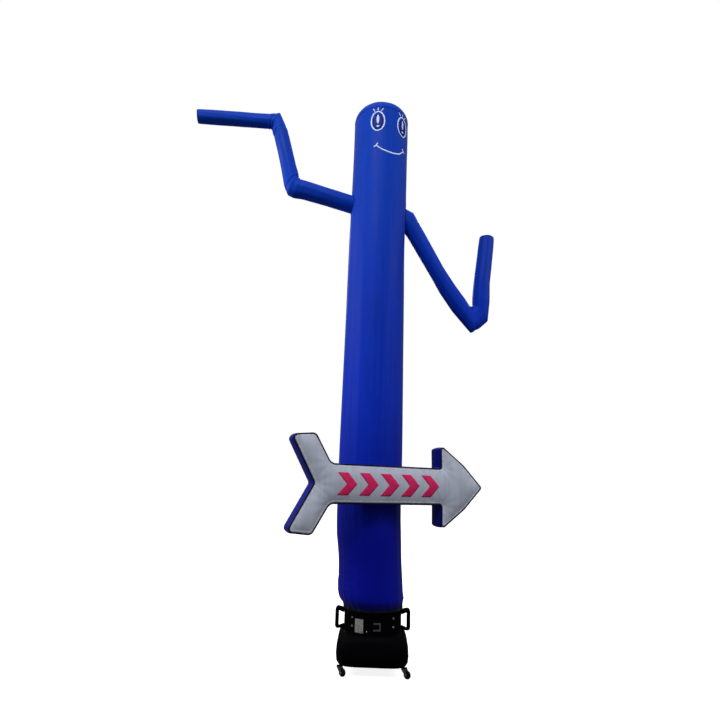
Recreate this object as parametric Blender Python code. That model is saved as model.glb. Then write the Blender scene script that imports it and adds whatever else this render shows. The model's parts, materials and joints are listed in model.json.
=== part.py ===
"""Inflatable air dancer on its wheeled blower.

Metres, +Z up.  The face and the arrow look along -Y.  The blower stands turned
beneath the figure, and the origin is on the floor under the middle of the outline.
"""

import bpy
import bmesh
from math import acos, atan2, copysign, cos, exp, hypot, pi, radians, sin, sqrt
from mathutils import Vector
from mathutils.geometry import delaunay_2d_cdt

# ---------------------------------------------------------------- dimensions

# The figure's axis, seen from the middle of the whole outline.
FIGURE_X = 0.268
FIGURE_Y = -0.033

# Cloth: coated nylon, drawn 2 mm thick so that it is a solid sheet.
CLOTH = 0.002
SEAM_GAP = 0.0006
ARM_GAP = 0.0016

# Tube, from its hem on the blower's collar up to the crown seam.
# height, radius, sideways shift of the axis
TUBE_SECTIONS = (
    (0.385, 0.2045, 0.034),
    (0.402, 0.2055, 0.033),
    (0.420, 0.2110, 0.029),
    (0.455, 0.2270, 0.019),
    (0.500, 0.2290, 0.011),
    (0.580, 0.2265, 0.009),
    (0.690, 0.2240, 0.004),
    (0.780, 0.2270, -0.002),
    (0.880, 0.2315, -0.010),
    (1.020, 0.2320, -0.014),
    (1.450, 0.2350, -0.010),
    (1.850, 0.2335, -0.008),
    (2.250, 0.2312, -0.006),
    (2.650, 0.2297, -0.003),
    (3.100, 0.2276, 0.001),
    (3.500, 0.2290, 0.010),
    (3.900, 0.2285, 0.015),
    (4.200, 0.2305, 0.018),
    (4.294, 0.2300, 0.018),
)
TUBE_SIDES = 36
CROWN_RISE = 0.148
CROWN_RINGS = 7

# Arms: each row is one section, seen square to the arms' own plane.
# lower or outer edge (across, height), upper or inner edge (across, height), half depth
ARM_TURN = radians(-14)
ARM_SIDES = 16
END_BULGE = 0.008
LEFT_ARM = (
    (-0.191, 3.411, -0.209, 3.563, 0.076),
    (-0.449, 3.473, -0.441, 3.623, 0.075),
    (-0.629, 3.511, -0.613, 3.667, 0.073),
    (-0.704, 3.525, -0.656, 3.679, 0.070),
    (-0.741, 3.551, -0.671, 3.696, 0.068),
    (-0.786, 3.615, -0.678, 3.738, 0.066),
    (-0.824, 3.770, -0.703, 3.812, 0.064),
    (-0.862, 3.924, -0.737, 3.945, 0.063),
    (-0.897, 4.060, -0.785, 4.120, 0.060),
    (-0.916, 4.103, -0.818, 4.200, 0.058),
    (-0.924, 4.139, -0.863, 4.295, 0.054),
    (-0.963, 4.147, -0.950, 4.273, 0.056),
    (-1.217, 4.143, -1.226, 4.260, 0.058),
    (-1.537, 4.131, -1.546, 4.247, 0.058),
)
RIGHT_ARM = (
    (0.175, 3.365, 0.215, 3.495, 0.074),
    (0.262, 3.238, 0.301, 3.458, 0.076),
    (0.307, 3.160, 0.346, 3.376, 0.073),
    (0.433, 2.946, 0.553, 2.994, 0.068),
    (0.535, 2.764, 0.649, 2.844, 0.066),
    (0.633, 2.620, 0.739, 2.720, 0.064),
    (0.709, 2.529, 0.768, 2.675, 0.062),
    (0.788, 2.438, 0.784, 2.664, 0.054),
    (0.864, 2.486, 0.795, 2.662, 0.050),
    (0.930, 2.546, 0.806, 2.674, 0.054),
    (0.948, 2.700, 0.809, 2.738, 0.066),
    (0.956, 2.870, 0.821, 2.872, 0.067),
    (0.976, 3.037, 0.843, 3.030, 0.066),
    (1.003, 3.282, 0.881, 3.290, 0.063),
)

# Arrow sign, a shallow box cushion on the tube's front.
ARROW_HEIGHT = 1.217
ARROW_FRONT = 0.326
ARROW_BACK = 0.186
ARROW_SEAT = 0.2395
ARROW_CROWN = 0.034
ARROW_CROWN_WIDTH = 0.045
ARROW_ROLL = 0.009
ARROW_STEP = 0.044
# Corners of the upper half from the tail's notch to the nose: across, up, rounding
ARROW_CORNERS = (
    (-0.536, 0.000, 0.016),
    (-0.708, 0.312, 0.034),
    (-0.530, 0.330, 0.045),
    (-0.415, 0.134, 0.050),
    (0.396, 0.130, 0.010),
    (0.394, 0.304, 0.024),
    (0.590, 0.158, 0.200),
    (0.744, 0.000, 0.024),
)

# Blower: rounded square base that turns into a round drum.
BLOWER_X = 0.034
BLOWER_TURN = radians(-22)
BLOWER_SIDES = 48
DRUM_RADIUS = 0.199
SQUARE = 5.6
ROUND = 2.0
# height, half width, squareness
BLOWER_SECTIONS = (
    (0.0600, 0.208, SQUARE),
    (0.0650, 0.226, SQUARE),
    (0.0850, 0.240, SQUARE),
    (0.1250, 0.244, SQUARE),
    (0.1700, 0.241, SQUARE),
    (0.2100, 0.234, 4.6),
    (0.2300, 0.226, 4.0),
    (0.2420, 0.212, 2.8),
    (0.2480, DRUM_RADIUS, ROUND),
    (0.4550, DRUM_RADIUS, ROUND),
    (0.4600, DRUM_RADIUS - 0.004, ROUND),
)

# Carrying handles at the drum's two sides.
HANDLE_OUT = 0.262
HANDLE_TOP = 0.390
HANDLE_FOOT = 0.237
HANDLE_FLARE = 0.014
HANDLE_BAR = 0.025
HANDLE_LEG_TOP = 0.032
HANDLE_LEG_FOOT = 0.021
HANDLE_DEPTH = 0.040
HANDLE_FILLET = 0.020

# Fittings on the drum's front: turn about the drum from its front, height.
FIT_GAP = 0.0006
PLATE_TURN = radians(-27)
PLATE_HEIGHT = 0.300
PLATE_SIZE = (0.062, 0.0018, 0.084)
STAPLE_TURN = radians(8)
STAPLE_HEIGHT = 0.300
STAPLE_SIZE = 0.050
STAPLE_BAR = 0.010
STAPLE_THICK = 0.006
BOLT_TURN = radians(43)
BOLT_HEIGHTS = {"upper": 0.345, "lower": 0.292}
BOLT_RADIUS = 0.0085
BOLT_LENGTH = 0.007
SCREW_TURN = radians(-11.5)
SCREW_HEIGHT = 0.268
SCREW_RADIUS = 0.005
SCREW_LENGTH = 0.003

# Swivel casters under the base's corners.
CASTER_X = 0.211
CASTER_Y = 0.184
CASTER_TURN = radians(-40)
CASTER_TRAIL = 0.024
CASTER_PLATE = 0.040
CASTER_PLATE_THICK = 0.003
WHEEL_RADIUS = 0.0250
WHEEL_WIDTH = 0.020
WHEEL_SIDES = 20
FORK_PLAY = 0.0012
FORK_CHEEK = 0.0028
FORK_CROWN = 0.0050
FORK_LENGTH = 0.030
PLAY = 0.0005

# Colours: base colour, roughness, metallic
NYLON_BLUE = ((0.010, 0.035, 0.520), 0.55, 0.0)
NYLON_WHITE = ((0.620, 0.620, 0.680), 0.55, 0.0)
BLACK_PLASTIC = ((0.012, 0.012, 0.013), 0.45, 0.0)
GREY_PLATE = ((0.300, 0.300, 0.310), 0.40, 0.6)
STEEL = ((0.560, 0.560, 0.570), 0.30, 1.0)
WHEEL_GREY = ((0.060, 0.060, 0.062), 0.60, 0.0)


# ---------------------------------------------------------------- helpers

def clear_scene():
    for thing in list(bpy.data.objects):
        bpy.data.objects.remove(thing, do_unlink=True)


def empty(name, location, turn=0.0, parent=None):
    node = bpy.data.objects.new(name, None)
    node.location = location
    node.rotation_euler = (0.0, 0.0, turn)
    node.parent = parent
    bpy.context.collection.objects.link(node)
    return node


def material(name, finish):
    colour, roughness, metallic = finish
    mat = bpy.data.materials.new(name)
    mat.use_nodes = True
    shader = mat.node_tree.nodes["Principled BSDF"]
    shader.inputs["Base Color"].default_value = (*colour, 1.0)
    shader.inputs["Roughness"].default_value = roughness
    shader.inputs["Metallic"].default_value = metallic
    return mat


def make(name, verts, faces, finish, parent, smooth=True):
    """One object from points and faces, its normals turned outward."""
    mesh = bpy.data.meshes.new(name)
    mesh.from_pydata([tuple(v) for v in verts], [], faces)
    shape = bmesh.new()
    shape.from_mesh(mesh)
    bmesh.ops.recalc_face_normals(shape, faces=shape.faces)
    shape.to_mesh(mesh)
    shape.free()
    mesh.materials.append(material(name + "_finish", finish))
    if smooth:
        mesh.shade_smooth()
        mesh.set_sharp_from_angle(angle=radians(40))
    thing = bpy.data.objects.new(name, mesh)
    thing.parent = parent
    bpy.context.collection.objects.link(thing)
    return thing


def thicken(thing, thickness=CLOTH):
    """Turn an open sheet into a closed one, its new face on the inside."""
    solid = thing.modifiers.new("Thickness", "SOLIDIFY")
    solid.thickness = thickness
    solid.offset = -1.0
    solid.use_rim = True
    solid.use_even_offset = False
    return thing


def soften(thing, width, segments=2):
    bevel = thing.modifiers.new("Edges", "BEVEL")
    bevel.width = width
    bevel.segments = segments
    bevel.limit_method = "ANGLE"
    bevel.angle_limit = radians(40)
    return thing


def band(rings, closed=True):
    """Points and quads of a skin through rings of equal length."""
    count = len(rings[0])
    verts = [point for ring in rings for point in ring]
    faces = []
    for row in range(len(rings) - 1):
        for side in range(count if closed else count - 1):
            low = row * count + side
            low_next = row * count + (side + 1) % count
            faces.append((low, low_next, low_next + count, low + count))
    return verts, faces


def between(rows, key):
    """Straight reading of a table's other columns at a value of its first."""
    for low, high in zip(rows, rows[1:]):
        if key <= high[0]:
            break
    part = min(max((key - low[0]) / (high[0] - low[0]), 0.0), 1.0)
    return [a + (b - a) * part for a, b in zip(low[1:], high[1:])]


# ---------------------------------------------------------------- tube and crown

def tube_ring(height, radius, shift):
    ring = []
    for side in range(TUBE_SIDES):
        angle = 2 * pi * (side + 0.5) / TUBE_SIDES
        ring.append(Vector((shift + radius * cos(angle), radius * sin(angle), height)))
    return ring


def body_tube(figure):
    """Open sleeve: the foot slips over the drum, the top carries the crown."""
    verts, faces = band([tube_ring(*row) for row in TUBE_SECTIONS])
    return thicken(make("body_tube", verts, faces, NYLON_BLUE, figure))


def crown_panel(figure):
    """Shallow dome, its edge on the tube's top edge."""
    rim, radius, shift = TUBE_SECTIONS[-1]
    rings = []
    for row in range(CROWN_RINGS):
        angle = 0.5 * pi * row / CROWN_RINGS
        height = rim + SEAM_GAP + CROWN_RISE * sin(angle)
        rings.append(tube_ring(height, radius * cos(angle), shift))
    verts, faces = band(rings)
    top = len(verts)
    last = top - TUBE_SIDES
    verts.append(Vector((shift, 0.0, rim + SEAM_GAP + CROWN_RISE)))
    for side in range(TUBE_SIDES):
        faces.append((last + side, last + (side + 1) % TUBE_SIDES, top))
    return thicken(make("crown_panel", verts, faces, NYLON_BLUE, figure))


# ---------------------------------------------------------------- arms

def arm_ring(row):
    """Oval between the two edges of a section, in the arms' plane."""
    low_x, low_z, high_x, high_z, depth = row
    low = Vector((low_x, 0.0, low_z))
    high = Vector((high_x, 0.0, high_z))
    middle = (low + high) / 2
    reach = (high - low) / 2
    ring = []
    for side in range(ARM_SIDES):
        angle = 2 * pi * side / ARM_SIDES
        ring.append(middle + reach * cos(angle) + Vector((0.0, depth * sin(angle), 0.0)))
    return ring


def turned(points):
    return [
        Vector((p.x * cos(ARM_TURN) - p.y * sin(ARM_TURN),
                p.x * sin(ARM_TURN) + p.y * cos(ARM_TURN),
                p.z))
        for p in points
    ]


def on_tube(inner, outer):
    """Where the line between two points of an arm comes out of the tube."""
    radius, shift = between(TUBE_SECTIONS, (inner.z + outer.z) / 2)
    axis = Vector((shift, 0.0))
    start = inner.xy - axis
    step = outer.xy - inner.xy
    a = step.dot(step)
    b = 2 * start.dot(step)
    c = start.dot(start) - (radius + ARM_GAP) ** 2
    part = (-b + sqrt(b * b - 4 * a * c)) / (2 * a)
    return inner + (outer - inner) * part


def arm(figure, name, rows):
    """Sleeve cut to the tube's side at its root, and a round panel in its end."""
    rings = [turned(arm_ring(row)) for row in rows]
    rings[0] = [on_tube(inner, outer) for inner, outer in zip(rings[0], rings[1])]
    verts, faces = band(rings)
    thicken(make(name, verts, faces, NYLON_BLUE, figure))

    middle = sum(rings[-1], Vector()) / ARM_SIDES
    before = sum(rings[-2], Vector()) / ARM_SIDES
    along = (middle - before).normalized()
    edge = [point + along * (SEAM_GAP + CLOTH) for point in rings[-1]]
    halfway = [middle + (point - middle) * 0.6 + along * END_BULGE * 0.7 for point in edge]
    verts, faces = band([edge, halfway])
    top = len(verts)
    verts.append(middle + along * (SEAM_GAP + CLOTH + END_BULGE))
    for side in range(ARM_SIDES):
        faces.append((ARM_SIDES + side, ARM_SIDES + (side + 1) % ARM_SIDES, top))
    thicken(make(name + "_end", verts, faces, NYLON_BLUE, figure))


# ---------------------------------------------------------------- arrow sign

def fillet(before, corner, after, radius, steps=3):
    """Arc of the given radius that rounds one corner off."""
    back = (before - corner).normalized()
    ahead = (after - corner).normalized()
    half = acos(max(-1.0, min(1.0, back.dot(ahead)))) / 2
    reach = radius * cos(half) / sin(half)
    centre = corner + (back + ahead).normalized() * (radius / sin(half))
    first = corner + back * reach - centre
    last = corner + ahead * reach - centre
    start = atan2(first.y, first.x)
    sweep = atan2(last.y, last.x) - start
    sweep = (sweep + pi) % (2 * pi) - pi
    arc = []
    for step in range(steps + 1):
        angle = start + sweep * step / steps
        arc.append(centre + radius * Vector((cos(angle), sin(angle))))
    return arc


def arrow_outline():
    """Closed outline, rounded at its corners, with even steps along the straights."""
    upper = [(Vector((x, z)), r) for x, z, r in ARROW_CORNERS]
    lower = [(Vector((p.x, -p.y)), r) for p, r in upper[-2:0:-1]]
    corners = upper + lower
    count = len(corners)
    arcs = []
    for i, (corner, radius) in enumerate(corners):
        before = corners[i - 1][0]
        after = corners[(i + 1) % count][0]
        arcs.append(fillet(before, corner, after, radius))
    outline = []
    for i, arc in enumerate(arcs):
        outline += arc
        start = arc[-1]
        end = arcs[(i + 1) % count][0]
        pieces = max(1, round((end - start).length / ARROW_STEP))
        outline += [start.lerp(end, k / pieces) for k in range(1, pieces)]
    return outline


def inset(outline, amount):
    """The outline moved inward, square to its own run at each point."""
    moved = []
    for i, point in enumerate(outline):
        run = (outline[(i + 1) % len(outline)] - outline[i - 1]).normalized()
        inward = Vector((run.y, -run.x))
        moved.append(point + inward * amount)
    return moved


def edge_distance(point, outline):
    best = 1.0
    for a, b in zip(outline, outline[1:] + outline[:1]):
        along = b - a
        part = max(0.0, min(1.0, (point - a).dot(along) / along.dot(along)))
        best = min(best, (point - a - along * part).length)
    return best


def is_inside(point, outline):
    crossings = 0
    for a, b in zip(outline, outline[1:] + outline[:1]):
        if (a.y > point.y) != (b.y > point.y):
            crossings += point.x < a.x + (b.x - a.x) * (point.y - a.y) / (b.y - a.y)
    return crossings % 2 == 1


def panel_mesh(outline):
    """Triangles over the outline, with a staggered net of points inside."""
    points = list(outline)
    row_step = ARROW_STEP * 0.87
    reach = 0.80
    for row in range(-10, 11):
        for column in range(-20, 21):
            x = (column + 0.5 * (row % 2)) * ARROW_STEP
            point = Vector((x, row * row_step))
            if abs(x) < reach and is_inside(point, outline):
                if edge_distance(point, outline) > 0.45 * ARROW_STEP:
                    points.append(point)
    count = len(outline)
    edges = [(i, (i + 1) % count) for i in range(count)]
    inside_only = 1
    flat, _, faces, *_ = delaunay_2d_cdt(points, edges, [], inside_only, 1e-6)
    return flat, faces


def back_depth(x):
    """How far the arrow's back lies in front of the figure's axis."""
    shift = between(TUBE_SECTIONS, ARROW_HEIGHT)[1]
    off = abs(x - shift)
    if off < ARROW_SEAT:
        return max(ARROW_BACK, sqrt(ARROW_SEAT ** 2 - off ** 2))
    return ARROW_BACK


def arrow_sign(figure):
    """Crowned white front, blue side strip and blue back that sits on the tube."""
    outline = arrow_outline()
    seam = inset(outline, ARROW_ROLL)
    flat, faces = panel_mesh(seam)
    front_depth = ARROW_FRONT + SEAM_GAP + CLOTH
    front = []
    back = []
    for p in flat:
        inward = edge_distance(p, seam)
        crown = ARROW_CROWN * (1 - exp(-inward / ARROW_CROWN_WIDTH))
        front.append(Vector((p.x, -front_depth - crown, ARROW_HEIGHT + p.y)))
        back.append(Vector((p.x, -back_depth(p.x) + SEAM_GAP, ARROW_HEIGHT + p.y)))
    sheet = make("arrow_front", front, faces, NYLON_WHITE, figure)
    face_outward(sheet, Vector((0.0, -1.0, 0.0)))
    thicken(sheet)
    sheet = make("arrow_back", back, faces, NYLON_BLUE, figure)
    face_outward(sheet, Vector((0.0, -1.0, 0.0)))
    thicken(sheet)

    front_edge = [Vector((p.x, -ARROW_FRONT, ARROW_HEIGHT + p.y)) for p in seam]
    back_edge = [Vector((p.x, -back_depth(p.x), ARROW_HEIGHT + p.y)) for p in seam]
    rolled = []
    for share in (0.2, 0.8):
        ring = []
        for p in outline:
            depth = ARROW_FRONT + share * (back_depth(p.x) - ARROW_FRONT)
            ring.append(Vector((p.x, -depth, ARROW_HEIGHT + p.y)))
        rolled.append(ring)
    verts, faces = band([front_edge, *rolled, back_edge])
    thicken(make("arrow_gusset", verts, faces, NYLON_BLUE, figure))


def face_outward(thing, direction):
    """Turn a sheet's faces to look along the given direction."""
    shape = bmesh.new()
    shape.from_mesh(thing.data)
    total = sum((f.normal * f.calc_area() for f in shape.faces), Vector())
    if total.dot(direction) < 0:
        bmesh.ops.reverse_faces(shape, faces=shape.faces)
    shape.to_mesh(thing.data)
    shape.free()


# ---------------------------------------------------------------- blower

def blower_ring(height, half, squareness):
    ring = []
    for side in range(BLOWER_SIDES):
        angle = 2 * pi * side / BLOWER_SIDES
        x = copysign(abs(cos(angle)) ** (2 / squareness), cos(angle))
        y = copysign(abs(sin(angle)) ** (2 / squareness), sin(angle))
        ring.append(Vector((half * x, half * y, height)))
    return ring


def blower_housing(blower):
    verts, faces = band([blower_ring(*row) for row in BLOWER_SECTIONS])
    top = len(verts) - BLOWER_SIDES
    faces.append(tuple(reversed(range(BLOWER_SIDES))))
    faces.append(tuple(range(top, top + BLOWER_SIDES)))
    make("blower_housing", verts, faces, BLACK_PLASTIC, blower)


def slab(name, outline, thickness, finish, parent, edge):
    """Flat plate: an outline in X and Z, given its thickness along Y."""
    half = thickness / 2
    front = [Vector((x, -half, z)) for x, z in outline]
    back = [Vector((x, half, z)) for x, z in outline]
    count = len(outline)
    verts, faces = band([front, back])
    faces.append(tuple(reversed(range(count))))
    faces.append(tuple(range(count, 2 * count)))
    return soften(make(name, verts, faces, finish, parent), edge)


def handle(blower, name, side):
    """C-shaped grip; its two legs draw together toward the drum."""
    root = DRUM_RADIUS + FIT_GAP
    grip = HANDLE_OUT - HANDLE_BAR
    low = HANDLE_FOOT + HANDLE_LEG_FOOT
    high = HANDLE_TOP - HANDLE_LEG_TOP
    outer = []
    for z, toward in ((HANDLE_FOOT, 1), (HANDLE_TOP, -1)):
        corner = Vector((HANDLE_OUT, z))
        leg = Vector((root, z + toward * HANDLE_FLARE))
        upright = Vector((HANDLE_OUT, z + toward * HANDLE_DEPTH))
        arc = fillet(leg, corner, upright, HANDLE_FILLET, 3)
        outer += arc if toward > 0 else reversed(arc)
    outline = [Vector((root, HANDLE_FOOT + HANDLE_FLARE)), *outer,
               Vector((root, HANDLE_TOP - HANDLE_FLARE)), Vector((root, high - HANDLE_FLARE)),
               Vector((grip, high)), Vector((grip, low)), Vector((root, low + HANDLE_FLARE))]
    shape = [(side * p.x, p.y) for p in outline]
    slab(name, shape, HANDLE_DEPTH, BLACK_PLASTIC, blower, 0.004)


def on_drum(blower, name, turn, height):
    """Empty on the drum's skin: its -Y looks straight out of the drum."""
    reach = DRUM_RADIUS + FIT_GAP
    place = (reach * sin(turn), -reach * cos(turn), height)
    return empty(name, place, turn, blower)


def label_plate(blower):
    width, thick, tall = PLATE_SIZE
    seat = on_drum(blower, "plate_seat", PLATE_TURN, PLATE_HEIGHT)
    outline = [(-width / 2, -tall / 2), (width / 2, -tall / 2),
               (width / 2, tall / 2), (-width / 2, tall / 2)]
    plate = slab("label_plate", outline, thick, GREY_PLATE, seat, 0.0004)
    plate.location.y = -thick / 2


def cable_staple(blower):
    """Flat three-sided bracket, open toward the left."""
    seat = on_drum(blower, "staple_seat", STAPLE_TURN, STAPLE_HEIGHT)
    half = STAPLE_SIZE / 2
    inner = half - STAPLE_BAR
    outline = [(-half, -half), (half, -half), (half, half), (-half, half),
               (-half, inner), (inner, inner), (inner, -inner), (-half, -inner)]
    bracket = slab("cable_staple", outline, STAPLE_THICK, GREY_PLATE, seat, 0.0012)
    bracket.location.y = -STAPLE_THICK / 2


def stud(blower, name, turn, height, radius, length, sides):
    """Low round or six-sided head that stands out of the drum."""
    seat = on_drum(blower, name + "_seat", turn, height)
    rings = []
    for out, size in ((0.0, radius), (length * 0.75, radius), (length, radius * 0.82)):
        ring = []
        for side in range(sides):
            angle = 2 * pi * side / sides
            ring.append(Vector((size * cos(angle), -out, size * sin(angle))))
        rings.append(ring)
    verts, faces = band(rings)
    faces.append(tuple(reversed(range(sides))))
    faces.append(tuple(range(2 * sides, 3 * sides)))
    make(name, verts, faces, STEEL, seat)


def fasteners(blower):
    for side, sign in (("left", -1), ("right", 1)):
        for level, height in BOLT_HEIGHTS.items():
            name = f"handle_bolt_{side}_{level}"
            stud(blower, name, sign * BOLT_TURN, height, BOLT_RADIUS, BOLT_LENGTH, 6)
    stud(blower, "drum_screw", SCREW_TURN, SCREW_HEIGHT, SCREW_RADIUS, SCREW_LENGTH, 12)


# ---------------------------------------------------------------- casters

def prism(name, outline, low, high, finish, parent):
    """Upright block: an outline in X and Y between two heights."""
    rings = [[Vector((x, y, z)) for x, y in outline] for z in (low, high)]
    count = len(outline)
    verts, faces = band(rings)
    faces.append(tuple(reversed(range(count))))
    faces.append(tuple(range(count, 2 * count)))
    return make(name, verts, faces, finish, parent)


def rectangle(x0, x1, y0, y1):
    return [(x0, y0), (x1, y0), (x1, y1), (x0, y1)]


def fork(name, swivel, top, axle):
    """Crown with two cheeks that hold the wheel; the cheeks lean back to the axle."""
    inside = WHEEL_WIDTH / 2 + FORK_PLAY
    outside = inside + FORK_CHEEK
    bridge = top - FORK_CROWN
    half = FORK_LENGTH / 2
    foot = axle - 0.008
    profile = [(-half, top), (half, top), (CASTER_TRAIL + 0.008, foot + 0.006),
               (CASTER_TRAIL + 0.004, foot), (CASTER_TRAIL - 0.006, foot), (-half, bridge)]
    rings = []
    for y in (-outside, -inside, inside, outside):
        rings.append([Vector((x, y, z)) for x, z in profile])
    count = len(profile)
    verts = [point for ring in rings for point in ring]
    faces = []
    for first in (0, 2):
        for i in range(count):
            a = first * count + i
            b = first * count + (i + 1) % count
            faces.append((a, b, b + count, a + count))
        faces.append(tuple(range(first * count, (first + 1) * count)))
        faces.append(tuple(range((first + 1) * count, (first + 2) * count)))
    body = make(name, verts, faces, STEEL, swivel, smooth=False)
    crown = prism(name + "_crown", rectangle(-half, half - 0.001, -outside + 0.0004, outside - 0.0004),
                  bridge, top - 0.0004, STEEL, swivel)
    crown.hide_render = True
    crown.display_type = "WIRE"
    join = body.modifiers.new("Crown", "BOOLEAN")
    join.operation = "UNION"
    join.object = crown


def wheel(name, swivel, axle):
    """Rubber tread, hollowed at both hubs, with one flat of its rim on the floor."""
    half = WHEEL_WIDTH / 2
    profile = ((0.0070, half), (0.0080, half - 0.002), (0.0160, half - 0.002),
               (0.0180, half - 0.0005), (WHEEL_RADIUS - 0.002, half - 0.0005),
               (WHEEL_RADIUS, half - 0.003))
    profile += tuple((radius, -side) for radius, side in reversed(profile))
    rings = []
    for radius, side in profile:
        ring = []
        for step in range(WHEEL_SIDES):
            angle = 2 * pi * (step + 0.5) / WHEEL_SIDES
            ring.append(Vector((radius * cos(angle), side, radius * sin(angle))))
        rings.append(ring)
    verts, faces = band(rings)
    last = len(verts) - WHEEL_SIDES
    faces.append(tuple(range(WHEEL_SIDES)))
    faces.append(tuple(reversed(range(last, last + WHEEL_SIDES))))
    tread = make(name, verts, faces, WHEEL_GREY, swivel)
    tread.location = (CASTER_TRAIL, 0.0, axle)


def casters(blower):
    """Four casters that all trail the same way."""
    axle = WHEEL_RADIUS * cos(pi / WHEEL_SIDES)
    base = BLOWER_SECTIONS[0][0]
    plate_top = base - PLAY
    plate_foot = plate_top - CASTER_PLATE_THICK
    half = CASTER_PLATE / 2
    for depth, y in (("front", -CASTER_Y), ("back", CASTER_Y)):
        for side, x in (("left", -CASTER_X), ("right", CASTER_X)):
            corner = f"{depth}_{side}"
            seat = empty(f"corner_{corner}", (x, y, 0.0), 0.0, blower)
            prism(f"caster_plate_{corner}", rectangle(-half, half, -half, half),
                  plate_foot, plate_top, STEEL, seat)
            swivel = empty(f"swivel_{corner}", (0.0, 0.0, 0.0), CASTER_TURN, seat)
            fork(f"caster_fork_{corner}", swivel, plate_foot - PLAY, axle)
            wheel(f"caster_wheel_{corner}", swivel, axle)


# ---------------------------------------------------------------- assembly

def build():
    clear_scene()
    figure = empty("figure", (FIGURE_X, FIGURE_Y, 0.0))
    body_tube(figure)
    crown_panel(figure)
    arm(figure, "left_arm", LEFT_ARM)
    arm(figure, "right_arm", RIGHT_ARM)
    arrow_sign(figure)
    blower = empty("blower", (BLOWER_X, 0.0, 0.0), BLOWER_TURN, figure)
    blower_housing(blower)
    handle(blower, "handle_left", -1)
    handle(blower, "handle_right", 1)
    label_plate(blower)
    cable_staple(blower)
    fasteners(blower)
    casters(blower)
    bpy.context.view_layer.update()


build()
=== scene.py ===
import json
from math import acos, atan2, cos, pi, radians, sin

import bmesh
import bpy
import numpy as np
from mathutils import Matrix, Vector
from mathutils.bvhtree import BVHTree
from mathutils.geometry import delaunay_2d_cdt


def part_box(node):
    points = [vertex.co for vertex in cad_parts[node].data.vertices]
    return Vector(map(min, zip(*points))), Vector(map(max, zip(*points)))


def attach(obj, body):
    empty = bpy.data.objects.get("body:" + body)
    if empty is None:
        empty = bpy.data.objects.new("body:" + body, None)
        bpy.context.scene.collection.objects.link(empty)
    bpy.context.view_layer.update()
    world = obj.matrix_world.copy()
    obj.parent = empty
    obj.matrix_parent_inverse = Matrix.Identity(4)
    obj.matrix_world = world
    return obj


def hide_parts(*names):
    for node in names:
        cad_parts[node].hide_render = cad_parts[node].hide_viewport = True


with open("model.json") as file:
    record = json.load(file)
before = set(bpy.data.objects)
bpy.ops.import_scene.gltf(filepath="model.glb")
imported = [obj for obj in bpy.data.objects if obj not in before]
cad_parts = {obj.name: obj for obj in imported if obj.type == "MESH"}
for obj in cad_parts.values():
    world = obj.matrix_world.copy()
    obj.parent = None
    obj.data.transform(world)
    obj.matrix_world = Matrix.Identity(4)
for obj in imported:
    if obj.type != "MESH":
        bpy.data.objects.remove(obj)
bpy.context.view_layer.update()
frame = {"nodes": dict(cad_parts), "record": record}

# ---------------------------------------------------------------- sizes, as in the CAD model

# Tube: height, radius, sideways shift of its axis
TUBE_SECTIONS = (
    (0.385, 0.2045, 0.034),
    (0.402, 0.2055, 0.033),
    (0.420, 0.2110, 0.029),
    (0.455, 0.2270, 0.019),
    (0.500, 0.2290, 0.011),
    (0.580, 0.2265, 0.009),
    (0.690, 0.2240, 0.004),
    (0.780, 0.2270, -0.002),
    (0.880, 0.2315, -0.010),
    (1.020, 0.2320, -0.014),
    (1.450, 0.2350, -0.010),
    (1.850, 0.2335, -0.008),
    (2.250, 0.2312, -0.006),
    (2.650, 0.2297, -0.003),
    (3.100, 0.2276, 0.001),
    (3.500, 0.2290, 0.010),
    (3.900, 0.2285, 0.015),
    (4.200, 0.2305, 0.018),
    (4.294, 0.2300, 0.018),
)
FOOT, RIM = TUBE_SECTIONS[0][0], TUBE_SECTIONS[-1][0]
CROWN_RISE = 0.148
CLOTH = 0.0012
SEAM_GAP = 0.0006
# Mean radius of the tube, which turns angles about it into metres of cloth
MEAN_RADIUS = 0.23

# Arms: lower or outer edge (across, height), upper or inner edge (across, height), half depth
ARM_TURN = radians(-14)
ARM_GAP = 0.0016
END_BULGE = 0.008
ARM_FIRMNESS = 0.88
LEFT_ARM = (
    (-0.191, 3.411, -0.209, 3.563, 0.076),
    (-0.449, 3.473, -0.441, 3.623, 0.075),
    (-0.629, 3.511, -0.613, 3.667, 0.073),
    (-0.710, 3.515, -0.656, 3.679, 0.070),
    (-0.756, 3.537, -0.671, 3.696, 0.068),
    (-0.790, 3.612, -0.678, 3.738, 0.066),
    (-0.824, 3.770, -0.703, 3.812, 0.064),
    (-0.862, 3.924, -0.737, 3.945, 0.063),
    (-0.897, 4.060, -0.785, 4.120, 0.060),
    (-0.916, 4.103, -0.818, 4.200, 0.058),
    (-0.924, 4.139, -0.863, 4.295, 0.054),
    (-0.963, 4.147, -0.950, 4.273, 0.056),
    (-1.217, 4.143, -1.226, 4.260, 0.058),
    (-1.537, 4.131, -1.546, 4.247, 0.058),
)
RIGHT_ARM = (
    (0.175, 3.365, 0.215, 3.495, 0.074),
    (0.262, 3.238, 0.301, 3.458, 0.076),
    (0.307, 3.160, 0.346, 3.376, 0.073),
    (0.433, 2.946, 0.553, 2.994, 0.068),
    (0.535, 2.764, 0.649, 2.844, 0.066),
    (0.633, 2.620, 0.739, 2.720, 0.064),
    (0.709, 2.529, 0.768, 2.675, 0.062),
    (0.788, 2.438, 0.784, 2.664, 0.054),
    (0.864, 2.486, 0.795, 2.662, 0.050),
    (0.930, 2.546, 0.806, 2.674, 0.054),
    (0.948, 2.700, 0.809, 2.738, 0.066),
    (0.956, 2.870, 0.821, 2.872, 0.067),
    (0.976, 3.037, 0.843, 3.030, 0.066),
    (1.003, 3.282, 0.881, 3.290, 0.063),
)
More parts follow.
